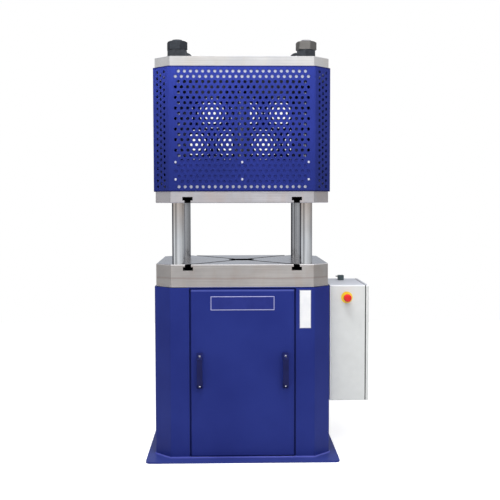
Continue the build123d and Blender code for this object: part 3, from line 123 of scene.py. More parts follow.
# Walls of the studio: white to the eye. Gloss sees white panels in front and at the left, dimmer
# gaps between them, and a blue-grey wall behind. Bearings are degrees from the back wall.
wall_panels = (
    (-180, "#f3f3f3"), (180, "#f3f3f3"), (-166, "#f3f3f3"), (-150, "#bcbcbc"), (-122, "#aeaeae"),
    (-112, "#f6f6f6"), (-92, "#f6f6f6"), (-76, "#5a5a5c"), (-45, "#54545a"), (-30, "#75777d"),
    (0, "#c6ccd6"), (30, "#7c7e84"), (52, "#a8a8aa"), (70, "#c0c0c0"), (95, "#c2c2c2"), (125, "#dedede"),
    (150, "#e4e4e4"), (166, "#f3f3f3"),
)
# One bright window high at the left in front, and a roof that is brighter than the walls
window_bearing = Vector((-0.45, -0.62, 0.64)).normalized()
world = bpy.data.worlds.new("studio")
bpy.context.scene.world = world
world.use_nodes = True
tree = world.node_tree
tree.nodes.clear()
rays = add_node(tree, "ShaderNodeLightPath")
direction = add_node(tree, "ShaderNodeTexCoord").outputs["Generated"]
parts = add_node(tree, "ShaderNodeSeparateXYZ", links={0: direction}).outputs
heading = add_node(tree, "ShaderNodeMath", {"operation": "ARCTAN2"}, {0: parts["X"], 1: parts["Y"]})
turn = add_node(
    tree, "ShaderNodeMapRange", {"From Min": -math.pi, "From Max": math.pi}, {"Value": heading.outputs[0]}
)
around = add_node(
    tree, "ShaderNodeValToRGB", links={"Fac": turn.outputs["Result"]},
    stops=[((bearing + 180) / 360, colour) for bearing, colour in wall_panels],
)
floor_to_roof = add_node(
    tree, "ShaderNodeMapRange", {"From Min": -0.3, "From Max": 0.35, "To Min": 0.62, "To Max": 1.25},
    {"Value": parts["Z"]},
)
towards = add_node(
    tree, "ShaderNodeVectorMath", {"operation": "DOT_PRODUCT", 1: window_bearing}, {0: direction}
)
window = add_node(
    tree, "ShaderNodeMapRange", {"From Min": 0.978, "From Max": 0.988, "To Max": 5},
    {"Value": towards.outputs["Value"]},
)
roof = add_node(
    tree, "ShaderNodeMapRange", {"From Min": 0.6, "From Max": 0.85, "To Max": 1.3}, {"Value": parts["Z"]}
)
upper = add_node(
    tree, "ShaderNodeMath", {"operation": "ADD"}, {0: window.outputs["Result"], 1: roof.outputs["Result"]}
)
brightness = add_node(
    tree, "ShaderNodeMath", {"operation": "ADD"},
    {0: floor_to_roof.outputs["Result"], 1: upper.outputs[0]},
)
gloss_light = add_node(
    tree, "ShaderNodeBackground",
    links={"Color": around.outputs["Color"], "Strength": brightness.outputs[0]},
)
front_to_back = add_node(
    tree, "ShaderNodeMapRange", {"From Min": -1, "From Max": 1, "To Min": 0.72, "To Max": 0.3},
    {"Value": parts["Y"]},
)
soft_light = add_node(
    tree, "ShaderNodeBackground", {"Color": linear("#ffffff")}, {"Strength": front_to_back.outputs["Result"]}
)
white_wall = add_node(tree, "ShaderNodeBackground", {"Color": linear("#ffffff"), "Strength": 1})
lit_wall = add_node(
    tree, "ShaderNodeMixShader",
    links={0: rays.outputs["Is Glossy Ray"], 1: soft_light.outputs[0], 2: gloss_light.outputs[0]},
)
seen_wall = add_node(
    tree, "ShaderNodeMixShader",
    links={0: rays.outputs["Is Camera Ray"], 1: lit_wall.outputs[0], 2: white_wall.outputs[0]},
)
add_node(tree, "ShaderNodeOutputWorld", links={"Surface": seen_wall.outputs[0]})

# Floor: matt white paper, which keeps the soft shadow under the press
bpy.ops.mesh.primitive_plane_add(size=9, location=(0, 0, -0.0005))
floor = bpy.context.object
floor.name = "floor"
floor_paper = bpy.data.materials.new("matt_white_paper")
floor_paper.use_nodes = True
tree = floor_paper.node_tree
tree.nodes.clear()
rays = add_node(tree, "ShaderNodeLightPath")
paper = add_node(tree, "ShaderNodeBsdfDiffuse", {"Color": linear("#e2e2e2")})
seen = add_node(
    tree, "ShaderNodeMath", {"operation": "MAXIMUM"},
    {0: rays.outputs["Is Camera Ray"], 1: rays.outputs["Is Glossy Ray"]},
)
own_light = add_node(tree, "ShaderNodeMath", {"operation": "MULTIPLY", 1: 0.68}, {0: seen.outputs[0]})
glow = add_node(tree, "ShaderNodeEmission", links={"Strength": own_light.outputs[0]})
both = add_node(tree, "ShaderNodeAddShader", links={0: paper.outputs[0], 1: glow.outputs[0]})
add_node(tree, "ShaderNodeOutputMaterial", links={"Surface": both.outputs[0]})
floor.data.materials.append(floor_paper)
floor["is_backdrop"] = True


# Base plate and cabinet: 10 mm flame-cut base and a folded 5 mm shell welded to it, both sprayed
# with blue powder coat and baked. The coat is half-gloss, with a faint orange peel and small
# differences in depth of colour.
def new_material(name, **shader):
    """A material, its nodes and the place on the object, with values set on the shader's sockets."""
    material = bpy.data.materials.new(name)
    material.use_nodes = True
    principled = material.node_tree.nodes["Principled BSDF"]
    for socket, value in shader.items():
        principled.inputs[socket.replace("_", " ")].default_value = value
    place = add_node(material.node_tree, "ShaderNodeTexCoord").outputs["Object"]
    return material, material.node_tree, principled, place


def paint_nodes(material, *names):
    """Gives these nodes of the frame their finish."""
    for name in names:
        nodes[name].data.materials.clear()
        nodes[name].data.materials.append(material)


def powder_coat(name, pale, deep, peel, roughness):
    """Baked powder coat: cloudy depth of colour over 0.3 m, and an orange peel of the given size."""
    material, tree, principled, place = new_material(
        name, Roughness=roughness, IOR=1.5, Specular_IOR_Level=0.07
    )
    cloud = add_node(tree, "ShaderNodeTexNoise", {"Scale": 3.3, "Detail": 3}, {"Vector": place})
    depth = add_node(
        tree, "ShaderNodeValToRGB", links={"Fac": cloud.outputs["Fac"]}, stops=[(0.35, deep), (0.65, pale)]
    )
    tree.links.new(depth.outputs["Color"], principled.inputs["Base Color"])
    bumps = add_node(tree, "ShaderNodeTexNoise", {"Scale": 1 / peel, "Detail": 2}, {"Vector": place})
    skin = add_node(
        tree, "ShaderNodeBump", {"Strength": 0.12, "Distance": peel / 12}, {"Height": bumps.outputs["Fac"]}
    )
    tree.links.new(skin.outputs["Normal"], principled.inputs["Normal"])
    return material, tree, principled, place, depth.outputs["Color"]


# Real orange peel is about 1.5 mm across and is drawn at 4 mm so that it shows
orange_peel = 0.004
# The base plate's coat is painted paler than the cabinet's, as painted light falling on its top from above
base_coat_painted_lit = powder_coat("blue_powder_coat_plate_painted_lit", "#364189", "#303b80", orange_peel, 0.4)[0]
paint_nodes(base_coat_painted_lit, "base_plate")
blue_coat = powder_coat("blue_powder_coat_baked", "#27337d", "#222d75", orange_peel, 0.42)[0]
paint_nodes(blue_coat, "cabinet_shell")
panel_coat, tree, principled, place, blue = powder_coat(
    "panel_powder_coat_baked", "#27337d", "#222d75", orange_peel, 0.42
)
# A pale band just under the panel's upper fold is a painted highlight
fold_highlight_drop = 0.007
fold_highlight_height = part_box("front_panel")[1].z - fold_highlight_drop
height = add_node(tree, "ShaderNodeSeparateXYZ", links={0: place}).outputs["Z"]
from_fold = add_node(tree, "ShaderNodeMath", {"operation": "SUBTRACT", 1: fold_highlight_height}, {0: height})
off = add_node(tree, "ShaderNodeMath", {"operation": "ABSOLUTE"}, {0: from_fold.outputs[0]})
fold_highlight = add_node(
    tree, "ShaderNodeMapRange", {"From Min": 0.0015, "From Max": 0.005, "To Min": 1, "To Max": 0},
    {"Value": off.outputs[0]},
)
fold_highlit = add_node(
    tree, "ShaderNodeMix", {"data_type": "RGBA", 7: linear("#4c569f")}, {0: fold_highlight.outputs["Result"], 6: blue}
)
tree.links.new(fold_highlit.outputs[2], principled.inputs["Base Color"])
paint_nodes(panel_coat, "front_panel")


# Weld: one run of filler along the cabinet's foot on the base plate, painted over with both. It is
# a 6 mm fillet with a slightly lumpy back, and its slope catches the light from above.
def pick(kind, test):
    """In edit mode, selects the vertices, edges or faces for which the test is true."""
    bpy.ops.mesh.select_mode(type=kind)
    bpy.ops.mesh.select_all(action="DESELECT")
    shape = bmesh.from_edit_mesh(bpy.context.object.data)
    for part in {"VERT": shape.verts, "EDGE": shape.edges, "FACE": shape.faces}[kind]:
        if test(part):
            part.select_set(True)
    shape.select_flush_mode()
    bmesh.update_edit_mesh(bpy.context.object.data)


def only(*pieces):
    """In object mode, selects these pieces alone and makes the first the active one."""
    if bpy.context.object and bpy.context.object.mode == "EDIT":
        bpy.ops.object.mode_set(mode="OBJECT")
    bpy.ops.object.select_all(action="DESELECT")
    for piece in pieces:
        piece.select_set(True)
    bpy.context.view_layer.objects.active = pieces[0]


def settle(piece, name, material, body):
    """Puts the piece's place into its mesh, closes its seams, and gives it its finish and body."""
    only(piece)
    bpy.ops.object.transform_apply(location=True, rotation=True, scale=True)
    bpy.ops.object.mode_set(mode="EDIT")
    bpy.ops.mesh.select_all(action="SELECT")
    bpy.ops.mesh.remove_doubles(threshold=1e-6)
    bpy.ops.mesh.normals_make_consistent(inside=False)
    bpy.ops.object.mode_set(mode="OBJECT")
    bpy.ops.object.shade_smooth_by_angle(angle=math.radians(32))
    piece.name = name
    piece.data.materials.clear()
    piece.data.materials.append(material)
    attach(piece, body)


shell_low, shell_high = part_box("cabinet_shell")
weld_leg = 0.006
weld_lift = 0.0002
weld_corner = 0.0865
# The lumps need short edges, both on the four sides and round the cut corners
side_cuts = 100
corner_cuts = 17
# The weld's back in three steps from its toe on the base plate: inwards and upwards
weld_steps = ((0.0014, 0.0034), (0.0031, 0.0017), (0.0016, 0.0010))
half_x, half_y = shell_high.x + weld_leg, shell_high.y + weld_leg
bpy.ops.object.select_all(action="DESELECT")
bpy.ops.mesh.primitive_plane_add(size=2, location=(0, 0, shell_low.z + weld_lift))
foot_weld = bpy.context.object
foot_weld.scale = (half_x, half_y, 1)
bpy.ops.object.transform_apply(location=True, rotation=True, scale=True)
bpy.ops.object.mode_set(mode="EDIT")
bpy.ops.mesh.select_all(action="SELECT")
bpy.ops.mesh.bevel(offset=weld_corner, affect="VERTICES", segments=1)
bpy.ops.mesh.select_all(action="SELECT")
bpy.ops.mesh.delete(type="ONLY_FACE")
pick("EDGE", lambda e: e.calc_length() > 0.3)
bpy.ops.mesh.subdivide(number_cuts=side_cuts)
pick("EDGE", lambda e: e.calc_length() > 0.05)
bpy.ops.mesh.subdivide(number_cuts=corner_cuts)
bpy.ops.mesh.select_all(action="SELECT")
for inwards, upwards in weld_steps:
    bpy.ops.mesh.extrude_edges_move()
    bpy.ops.transform.resize(value=(1 - inwards / half_x, 1 - inwards / half_y, 1), center_override=(0, 0, 0))
    bpy.ops.transform.translate(value=(0, 0, upwards))
bpy.ops.object.mode_set(mode="OBJECT")
lumps = bpy.data.textures.new("weld_lumps", "CLOUDS")
lumps.noise_scale = 0.012
lumpy = foot_weld.modifiers.new("lumps", "DISPLACE")
lumpy.texture = lumps
lumpy.strength = 0.0012
lumpy.mid_level = 0.5
bpy.ops.object.modifier_apply(modifier=lumpy.name)
# The coat on the weld is painted paler, as a painted highlight along the cabinet's foot
weld_highlight_coat = powder_coat("blue_powder_coat_weld_highlight", "#585fb0", "#464d9e", orange_peel, 0.4)[0]
settle(foot_weld, "foot_weld", weld_highlight_coat, "press_frame")


# Guard: two 2 mm steel sheets, punched with staggered 16 mm holes, folded at four corners and
# powder coated. One covers the front half and one the rear half, and their edges meet at the sides.
guard_low, guard_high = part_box("guard_front")
guard_middle = (guard_low.z + guard_high.z) / 2
guard_coat, tree, principled, place, blue = powder_coat(
    "guard_powder_coat_baked", "#222c72", "#1e2868", orange_peel, 0.4
)
# The sheet is coloured near-navy in a 6 mm band along its top and bottom edges
dark_edge_band = 0.006
height = add_node(tree, "ShaderNodeSeparateXYZ", links={0: place}).outputs["Z"]
from_middle = add_node(tree, "ShaderNodeMath", {"operation": "SUBTRACT", 1: guard_middle}, {0: height})
level = add_node(tree, "ShaderNodeMath", {"operation": "ABSOLUTE"}, {0: from_middle.outputs[0]})
edge = add_node(
    tree, "ShaderNodeMath", {"operation": "GREATER_THAN", 1: guard_high.z - guard_middle - dark_edge_band},
    {0: level.outputs[0]},
)
edged = add_node(
    tree, "ShaderNodeMix", {"data_type": "RGBA", 7: linear("#14194e")}, {0: edge.outputs[0], 6: blue}
)
tree.links.new(edged.outputs[2], principled.inputs["Base Color"])

# Holes: their staggered pattern, and how many stand across the front, down a corner and across a side
hole_pitch = 0.0297
hole_rise = hole_pitch * math.sqrt(3) / 2
hole_radius = 0.008
hole_drop = 0.0015
hole_middle = guard_middle - hole_drop
hole_rows = 12
front_holes = 22
corner_holes = 20
side_holes = 8
rim_side = hole_radius * 0.6
screw_land = 0.014

# Sheet: a fold of 45 degrees is a bend of three chords, and the places are along the flat sheet
guard_sheet = 0.002
guard_bend = 0.005
guard_corner = 0.082
fold_turns = (7.5, 15, 15, 7.5)
bend_chord = 2 * guard_bend * math.sin(math.radians(15 / 2))
bend_length = 3 * bend_chord
set_back = guard_bend * math.tan(math.radians(45 / 2))
front_half = (guard_high.x - guard_low.x) / 2 - guard_corner - set_back
corner_start = front_half + bend_length
corner_flat = guard_corner * math.sqrt(2) - 2 * set_back
corner_middle = corner_start + corner_flat / 2
side_start = corner_start + corner_flat + bend_length
side_flat = guard_high.y - (guard_low.y + guard_corner) - set_back
side_middle = side_start + side_flat / 2
side_end = side_start + side_flat


def hole_block(middle, top, across, down, turned=False):
    """Hexagonal cells of one hole each on the flat sheet, turned where their lines run down a corner."""
    step_across, step_down = (2 * hole_rise, hole_pitch) if turned else (hole_pitch, 2 * hole_rise)
    first = Vector((middle - (across - 1) / 2 * step_across, 0, top))
    bpy.ops.mesh.primitive_circle_add(
        vertices=12, radius=hole_radius, location=first, rotation=(math.pi / 2, 0, 0)
    )
    block = bpy.context.object
    bpy.ops.object.transform_apply(location=True, rotation=True, scale=True)
    bpy.ops.object.mode_set(mode="EDIT")
    bpy.ops.mesh.select_all(action="SELECT")
    bpy.ops.mesh.extrude_edges_move()
    bpy.ops.transform.resize(value=(hole_pitch / 2 / hole_radius,) * 3, center_override=first)
    corners = 0 if turned else 1
    pick("VERT", lambda v: (v.co - first).length > hole_radius * 1.2
         and round(math.degrees(math.atan2(v.co.z - first.z, v.co.x - first.x)) / 30) % 2 == corners)
    bpy.ops.transform.resize(value=(2 / math.sqrt(3),) * 3, center_override=first)
    bpy.ops.object.mode_set(mode="OBJECT")
    for step, count in (((step_across, 0, 0), across), ((0, 0, -step_down), down)):
        rows = block.modifiers.new("rows", "ARRAY")
        rows.use_relative_offset = False
        rows.use_constant_offset = True
        rows.constant_offset_displace = step
        rows.count = count
        bpy.ops.object.modifier_apply(modifier=rows.name)
    return block


def folded_guard(name, side, screws, drift=0, sink=0):
    """One half of the guard: punched flat, blanked at the screws, then folded from the outside in."""
    top_row = hole_middle - sink + (hole_rows - 1) * hole_rise
    top_hole = hole_middle + (corner_holes - 1) / 2 * hole_pitch
    blocks = [
        hole_block(drift, top_row, front_holes, hole_rows),
        hole_block(drift, top_row - hole_rise, front_holes + 1, hole_rows - 1),
    ]
    for end in (-1, 1):
        blocks += [
            hole_block(end * corner_middle, top_hole, 2, corner_holes, turned=True),
            hole_block(end * corner_middle, top_hole - hole_pitch / 2, 1, corner_holes - 1, turned=True),
            hole_block(end * side_middle, top_row, side_holes, hole_rows),
            hole_block(end * side_middle, top_row - hole_rise, side_holes - 1, hole_rows - 1),
        ]
    bpy.ops.mesh.primitive_plane_add(size=1, location=(0, 0, guard_middle), rotation=(math.pi / 2, 0, 0))
    blank = bpy.context.object
    blank.scale = (2 * side_end, guard_high.z - guard_low.z, 1)
    only(blank)
    bpy.ops.object.transform_apply(location=True, rotation=True, scale=True)
    bpy.ops.object.mode_set(mode="EDIT")
    bpy.ops.mesh.select_all(action="SELECT")
    bpy.ops.mesh.delete(type="ONLY_FACE")
    only(blank, *blocks)
    bpy.ops.object.join()
    bpy.ops.object.mode_set(mode="EDIT")
    bpy.ops.mesh.select_all(action="SELECT")
    bpy.ops.mesh.remove_doubles(threshold=1e-5)
    # No hole is punched where a screw goes
    for along, level in screws:
        pick("EDGE", lambda e: e.is_boundary and e.calc_length() < rim_side and all(
            (v.co - Vector((along, 0, level))).length < hole_radius + screw_land for v in e.verts))
        bpy.ops.mesh.fill()
    pick("EDGE", lambda e: len(e.link_faces) < 2 and e.calc_length() > rim_side)
    bpy.ops.mesh.fill(use_beauty=True)
    # Every fold gets its line across the sheet first, and then its turn
    folds = []
    for start in (corner_start + corner_flat, front_half):
        for step, turn in reversed(list(enumerate(fold_turns))):
            folds.append((start + step * bend_chord, turn))
    for end in (-1, 1):
        for along, turn in folds:
            bpy.ops.mesh.select_all(action="SELECT")
            bpy.ops.mesh.bisect(plane_co=(end * along, 0, 0), plane_no=(1, 0, 0))
    shape = bmesh.from_edit_mesh(blank.data)
    shape.verts.ensure_lookup_table()
    developed = [v.co.x for v in shape.verts]
    for end in (-1, 1):
        for along, turn in folds:
            pick("VERT", lambda v: end * developed[v.index] > along + 1e-6)
            bpy.ops.transform.rotate(
                value=-end * math.radians(turn), orient_axis="Z", center_override=(end * along, 0, 0)
            )
    bpy.ops.object.mode_set(mode="OBJECT")
    blank.location.y = side * -guard_low.y
    blank.rotation_euler.z = math.pi if side > 0 else 0
    bpy.ops.object.transform_apply(location=True, rotation=True, scale=True)
    bpy.ops.object.mode_set(mode="EDIT")
    bpy.ops.mesh.select_all(action="SELECT")
    bpy.ops.mesh.normals_make_consistent(inside=False)
    bpy.ops.object.mode_set(mode="OBJECT")
    widest = max(blank.data.polygons, key=lambda face: face.area * (abs(face.normal.y) > 0.9))
    if widest.normal.y * side < 0:
        blank.data.flip_normals()
    thickness = blank.modifiers.new("thickness", "SOLIDIFY")
    thickness.thickness = guard_sheet
    thickness.offset = -1
    bpy.ops.object.modifier_apply(modifier=thickness.name)
    settle(blank, name, guard_coat, "press_frame")
    return blank


# Screws: six through the stiffening strip in front, and four on each side, two of them per sheet
strip_screw_inset = 0.0125
strip_screw_rise = 0.102
strip_screw_spacing = 0.0845
side_screw_drop = 0.0365
side_screw_near = 0.09
side_screw_far = 0.25
strip_screw_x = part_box("guard_strip")[1].x - strip_screw_inset
strip_screws = [
    (x, guard_low.z + strip_screw_rise + up * strip_screw_spacing / 2)
    for x in (-strip_screw_x, 0, strip_screw_x)
    for up in (-1, 1)
]
side_screw_height = guard_high.z - side_screw_drop
side_screws = [
    (end * (side_end - reach - guard_high.y), side_screw_height)
    for end in (-1, 1)
    for reach in (side_screw_near, side_screw_far)
]
guard_front = folded_guard("guard_front_sheet", -1, strip_screws + side_screws)
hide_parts("guard_front")
# The rear sheet was punched a little off the front one's pattern
guard_rear = folded_guard("guard_rear_sheet", 1, side_screws, drift=0.0016, sink=0.0018)
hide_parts("guard_rear")
# The strip's coat is painted a little darker than the guard's, as painted shade where it lies behind the
# front sheet
strip_coat = powder_coat("strip_powder_coat_painted_shade", "#21296a", "#1d2561", orange_peel, 0.45)[0]
paint_nodes(strip_coat, "guard_strip")


# Guard screws: button heads of zinc-plated steel with a hexagon socket. Six go through the strip at
# the front, and four on each side go into the spacers on the top plate.
zinc, tree, principled, place = new_material("zinc_plated_steel", Metallic=1.0, Roughness=0.3)
clouds = add_node(tree, "ShaderNodeTexNoise", {"Scale": 90, "Detail": 3}, {"Vector": place})
plating = add_node(
    tree, "ShaderNodeValToRGB", links={"Fac": clouds.outputs["Fac"]},
    stops=[(0.3, "#d3d5ea"), (0.7, "#ececf6")],
)
tree.links.new(plating.outputs["Color"], principled.inputs["Base Color"])
# The handles' screws, the hose fittings and the pressure pipe are plated in the same way
paint_nodes(zinc, "handle_screws", "hose_fittings", "pressure_pipe")

screw_radius = 0.006
screw_height = 0.003
screw_rounding = 0.0022
socket_radius = 0.0023
socket_depth = 0.0018
socket_tool = 0.004
bpy.ops.object.select_all(action="DESELECT")
bpy.ops.mesh.primitive_cylinder_add(vertices=24, radius=screw_radius, depth=screw_height)
first_screw = bpy.context.object
bpy.ops.object.mode_set(mode="EDIT")
pick("EDGE", lambda e: all(v.co.z > 0 for v in e.verts))
bpy.ops.mesh.bevel(offset=screw_rounding, segments=4, profile=0.5, affect="EDGES")
bpy.ops.object.mode_set(mode="OBJECT")
bpy.ops.mesh.primitive_cylinder_add(
    vertices=6, radius=socket_radius, depth=socket_tool,
    location=(0, 0, screw_height / 2 - socket_depth + socket_tool / 2),
)
hexagon = bpy.context.object
only(first_screw)
socket = first_screw.modifiers.new("socket", "BOOLEAN")
socket.operation = "DIFFERENCE"
socket.object = hexagon
bpy.ops.object.modifier_apply(modifier=socket.name)
bpy.data.objects.remove(hexagon)
screw_places = [((x, guard_low.y - screw_height / 2, z), (math.pi / 2, 0, 0)) for x, z in strip_screws]
for side in (-1, 1):
    x = side * (guard_high.x + screw_height / 2)
    for y in (-side_screw_far, -side_screw_near, side_screw_near, side_screw_far):
        screw_places.append(((x, y, side_screw_height), (math.pi / 2, 0, side * math.pi / 2)))
for number, (spot, turn) in enumerate(screw_places, 1):
    only(first_screw)
    bpy.ops.object.duplicate()
    screw = bpy.context.object
    screw.location = spot
    screw.rotation_euler = turn
    settle(screw, f"guard_screw_{number:02d}", zinc, "press_frame")
    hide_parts("guard_screws")
bpy.data.objects.remove(first_screw)


# Table, ram plate and top plate: flame-cut steel plate, ground on its faces and milled on its
# edges. Fine lines run along it from the stone, with faint warm stains and dull patches.
def ground_steel(name, pale, dull, warm):
    """Ground plate: lines 0.4 mm apart, drawn at 3 mm so that they show, and broad soft stains."""
    material, tree, principled, place = new_material(name, Metallic=1.0)
    stone = add_node(tree, "ShaderNodeMapping", {"Scale": (3, 330, 330)}, {"Vector": place})
    lines = add_node(tree, "ShaderNodeTexNoise", {"Scale": 1, "Detail": 4}, {"Vector": stone.outputs[0]})
    patches = add_node(tree, "ShaderNodeTexNoise", {"Scale": 7, "Detail": 5}, {"Vector": place})
    metal = add_node(
        tree, "ShaderNodeValToRGB", links={"Fac": patches.outputs["Fac"]}, stops=[(0.3, dull), (0.65, pale)]
    )
    stains = add_node(
        tree, "ShaderNodeTexNoise", {"Scale": 4.5, "Detail": 3, "Distortion": 0.6}, {"Vector": place}
    )
    stained = add_node(
        tree, "ShaderNodeMapRange", {"From Min": 0.5, "From Max": 0.75, "To Max": 0.6},
        {"Value": stains.outputs["Fac"]},
    )
    runs = add_node(tree, "ShaderNodeMapping", {"Scale": (22, 22, 6)}, {"Vector": place})
    smears = add_node(tree, "ShaderNodeTexNoise", {"Scale": 1, "Detail": 3}, {"Vector": runs.outputs[0]})
    smeared = add_node(
        tree, "ShaderNodeMapRange", {"From Min": 0.5, "From Max": 0.8, "To Max": 0.4},
        {"Value": smears.outputs["Fac"]},
    )
    warmth = add_node(
        tree, "ShaderNodeMath", {"operation": "MAXIMUM"},
        {0: stained.outputs["Result"], 1: smeared.outputs["Result"]},
    )
    warmed = add_node(
        tree, "ShaderNodeMix", {"data_type": "RGBA", 7: linear(warm)},
        {0: warmth.outputs[0], 6: metal.outputs["Color"]},
    )
    streaked = add_node(
        tree, "ShaderNodeMapRange", {"From Min": 0.35, "From Max": 0.7, "To Min": 0.88, "To Max": 1.06},
        {"Value": lines.outputs["Fac"]},
    )
    colour = add_node(
        tree, "ShaderNodeVectorMath", {"operation": "SCALE"},
        {0: warmed.outputs[2], "Scale": streaked.outputs["Result"]},
    )
    tree.links.new(colour.outputs[0], principled.inputs["Base Color"])
    polish = add_node(
        tree, "ShaderNodeMapRange", {"To Min": 0.34, "To Max": 0.5}, {"Value": patches.outputs["Fac"]}
    )
    tree.links.new(polish.outputs["Result"], principled.inputs["Roughness"])
    grooves = add_node(
        tree, "ShaderNodeBump", {"Strength": 0.18, "Distance": 0.0003}, {"Height": lines.outputs["Fac"]}
    )
    tree.links.new(grooves.outputs["Normal"], principled.inputs["Normal"])
    return material, tree, principled, place, colour.outputs[0]


# The clamping slots and the middle hole where they cross are painted near-black inside, as painted
# shade in their recesses. Each leaves the plate at its front and back edges, beside the columns. Narrow
# neck and wide bar: half width, middle and half height, the last two from the plate's face.
slot_exit = 0.271
plate_reach = 0.370
slot_turn = math.atan2(plate_reach, slot_exit)
slot_heights = ((0.0125, 0.0065, 0.006), (0.0205, 0.0213, 0.0088))
middle_hole = 0.0705
hole_half_depth = 0.06
clean_rim = 0.0005


def paint_slot_shade(tree, principled, place, clean, face, inwards):
    """Paints shade into the neck and the bar of both slots and into the middle hole, from the plate's face
    inwards (1 up, -1 down).
    """
    height = add_node(tree, "ShaderNodeSeparateXYZ", links={0: place}).outputs["Z"]
    reaches = []
    for turn in (slot_turn, -slot_turn):
        across = add_node(
            tree, "ShaderNodeVectorMath",
            {"operation": "DOT_PRODUCT", 1: (math.sin(turn), -math.cos(turn), 0)}, {0: place},
        )
        reach = add_node(tree, "ShaderNodeMath", {"operation": "ABSOLUTE"}, {0: across.outputs["Value"]})
        reaches.append(reach.outputs[0])
    nearest = add_node(tree, "ShaderNodeMath", {"operation": "MINIMUM"}, {0: reaches[0], 1: reaches[1]})
    flat = add_node(tree, "ShaderNodeVectorMath", {"operation": "MULTIPLY", 1: (1, 1, 0)}, {0: place})
    away = add_node(tree, "ShaderNodeVectorMath", {"operation": "LENGTH"}, {0: flat.outputs[0]})
    hole = add_node(
        tree, "ShaderNodeMath", {"operation": "LESS_THAN", 1: middle_hole}, {0: away.outputs["Value"]}
    )
    hole_centre = face + inwards * (hole_half_depth + clean_rim)
    under_face = add_node(
        tree, "ShaderNodeMath", {"operation": "COMPARE", 1: hole_centre, 2: hole_half_depth}, {0: height}
    )
    slot_shade = add_node(
        tree, "ShaderNodeMath", {"operation": "MULTIPLY"}, {0: hole.outputs[0], 1: under_face.outputs[0]}
    ).outputs[0]
    for half_width, middle, half_height in slot_heights:
        near = add_node(
            tree, "ShaderNodeMath", {"operation": "LESS_THAN", 1: half_width}, {0: nearest.outputs[0]}
        )
        level = add_node(
            tree, "ShaderNodeMath", {"operation": "COMPARE", 1: face + inwards * middle, 2: half_height},
            {0: height},
        )
        inside = add_node(
            tree, "ShaderNodeMath", {"operation": "MULTIPLY"}, {0: near.outputs[0], 1: level.outputs[0]}
        )
        slot_shade = add_node(
            tree, "ShaderNodeMath", {"operation": "MAXIMUM"}, {0: slot_shade, 1: inside.outputs[0]}
        ).outputs[0]
    oil_and_painted_shade = add_node(
        tree, "ShaderNodeMix", {"data_type": "RGBA", 7: linear("#15171a")}, {0: slot_shade, 6: clean}
    )
    tree.links.new(oil_and_painted_shade.outputs[2], principled.inputs["Base Color"])


# The table and the ram plate are cut from both faces inwards, and the two cuts meet in a rough
# brownish line: its height, half width and strength. Last is the colour of a band near their top and bottom
# edges, a painted highlight on the table and darker on the ram.
cut_wander = 0.012
edge_band_inset = 0.0022
edge_band_half = 0.002
face_skin = 0.0004
for node, inwards, shades, (cut_height, cut_width, cut_strength), edge_band_colour in (
    ("table_plate", -1, ("#bbb7b5", "#aaa6a5", "#b09f93"), (0.9135, 0.007, 0.34), "#e6e4e6"),
    ("ram_plate", 1, ("#d3d1d6", "#c2c1c6", "#cbb8af"), (1.350, 0.003, 0.14), "#a9a7ad"),
):
    low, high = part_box(node)
    face = low.z if inwards > 0 else high.z
    plate_steel, tree, principled, place, clean = ground_steel("ground_steel_" + node, *shades)
    wander = add_node(tree, "ShaderNodeMapping", {"Scale": (9, 9, 40)}, {"Vector": place})
    ragged = add_node(tree, "ShaderNodeTexNoise", {"Scale": 1, "Detail": 5}, {"Vector": wander.outputs[0]})
    height = add_node(tree, "ShaderNodeSeparateXYZ", links={0: place}).outputs["Z"]
    shifted = add_node(
        tree, "ShaderNodeMath", {"operation": "MULTIPLY_ADD", 1: cut_wander},
        {0: ragged.outputs["Fac"], 2: height},
    )
    from_cut = add_node(
        tree, "ShaderNodeMath", {"operation": "SUBTRACT", 1: cut_height + cut_wander / 2},
        {0: shifted.outputs[0]},
    )
    off = add_node(tree, "ShaderNodeMath", {"operation": "ABSOLUTE"}, {0: from_cut.outputs[0]})
    line = add_node(
        tree, "ShaderNodeMapRange",
        {"From Min": cut_width / 5, "From Max": cut_width, "To Min": cut_strength, "To Max": 0},
        {"Value": off.outputs[0]},
    )
    clean = add_node(
        tree, "ShaderNodeMix", {"data_type": "RGBA", 7: linear("#8d776e")},
        {0: line.outputs["Result"], 6: clean},
    ).outputs[2]
    from_middle = add_node(
        tree, "ShaderNodeMath", {"operation": "SUBTRACT", 1: (low.z + high.z) / 2}, {0: height}
    )
    level = add_node(tree, "ShaderNodeMath", {"operation": "ABSOLUTE"}, {0: from_middle.outputs[0]})
    edge_band = add_node(
        tree, "ShaderNodeMath",
        {"operation": "COMPARE", 1: (high.z - low.z) / 2 - edge_band_inset, 2: edge_band_half},
        {0: level.outputs[0]},
    )
    clean = add_node(
        tree, "ShaderNodeMix", {"data_type": "RGBA", 7: linear(edge_band_colour)}, {0: edge_band.outputs[0], 6: clean}
    ).outputs[2]
    # Where the guard covers them, the plates are tinted bluish as a painted reflection of the blue guard
    covered = add_node(tree, "ShaderNodeMath", {"operation": "GREATER_THAN", 1: guard_low.z}, {0: height})
    clean = add_node(
        tree, "ShaderNodeMix", {"data_type": "RGBA", 7: linear("#cacde0")}, {0: covered.outputs[0], 6: clean}
    ).outputs[2]
    paint_slot_shade(tree, principled, place, clean, face, inwards)
    # The working face is polished by use
    at_face = add_node(
        tree, "ShaderNodeMath", {"operation": "COMPARE", 1: face, 2: face_skin}, {0: height}
    )
    polish = principled.inputs["Roughness"].links[0].from_socket
    gloss = add_node(
        tree, "ShaderNodeMath", {"operation": "MULTIPLY_ADD", 1: -0.2}, {0: at_face.outputs[0], 2: polish}
    )
    tree.links.new(gloss.outputs[0], principled.inputs["Roughness"])
    paint_nodes(plate_steel, node)
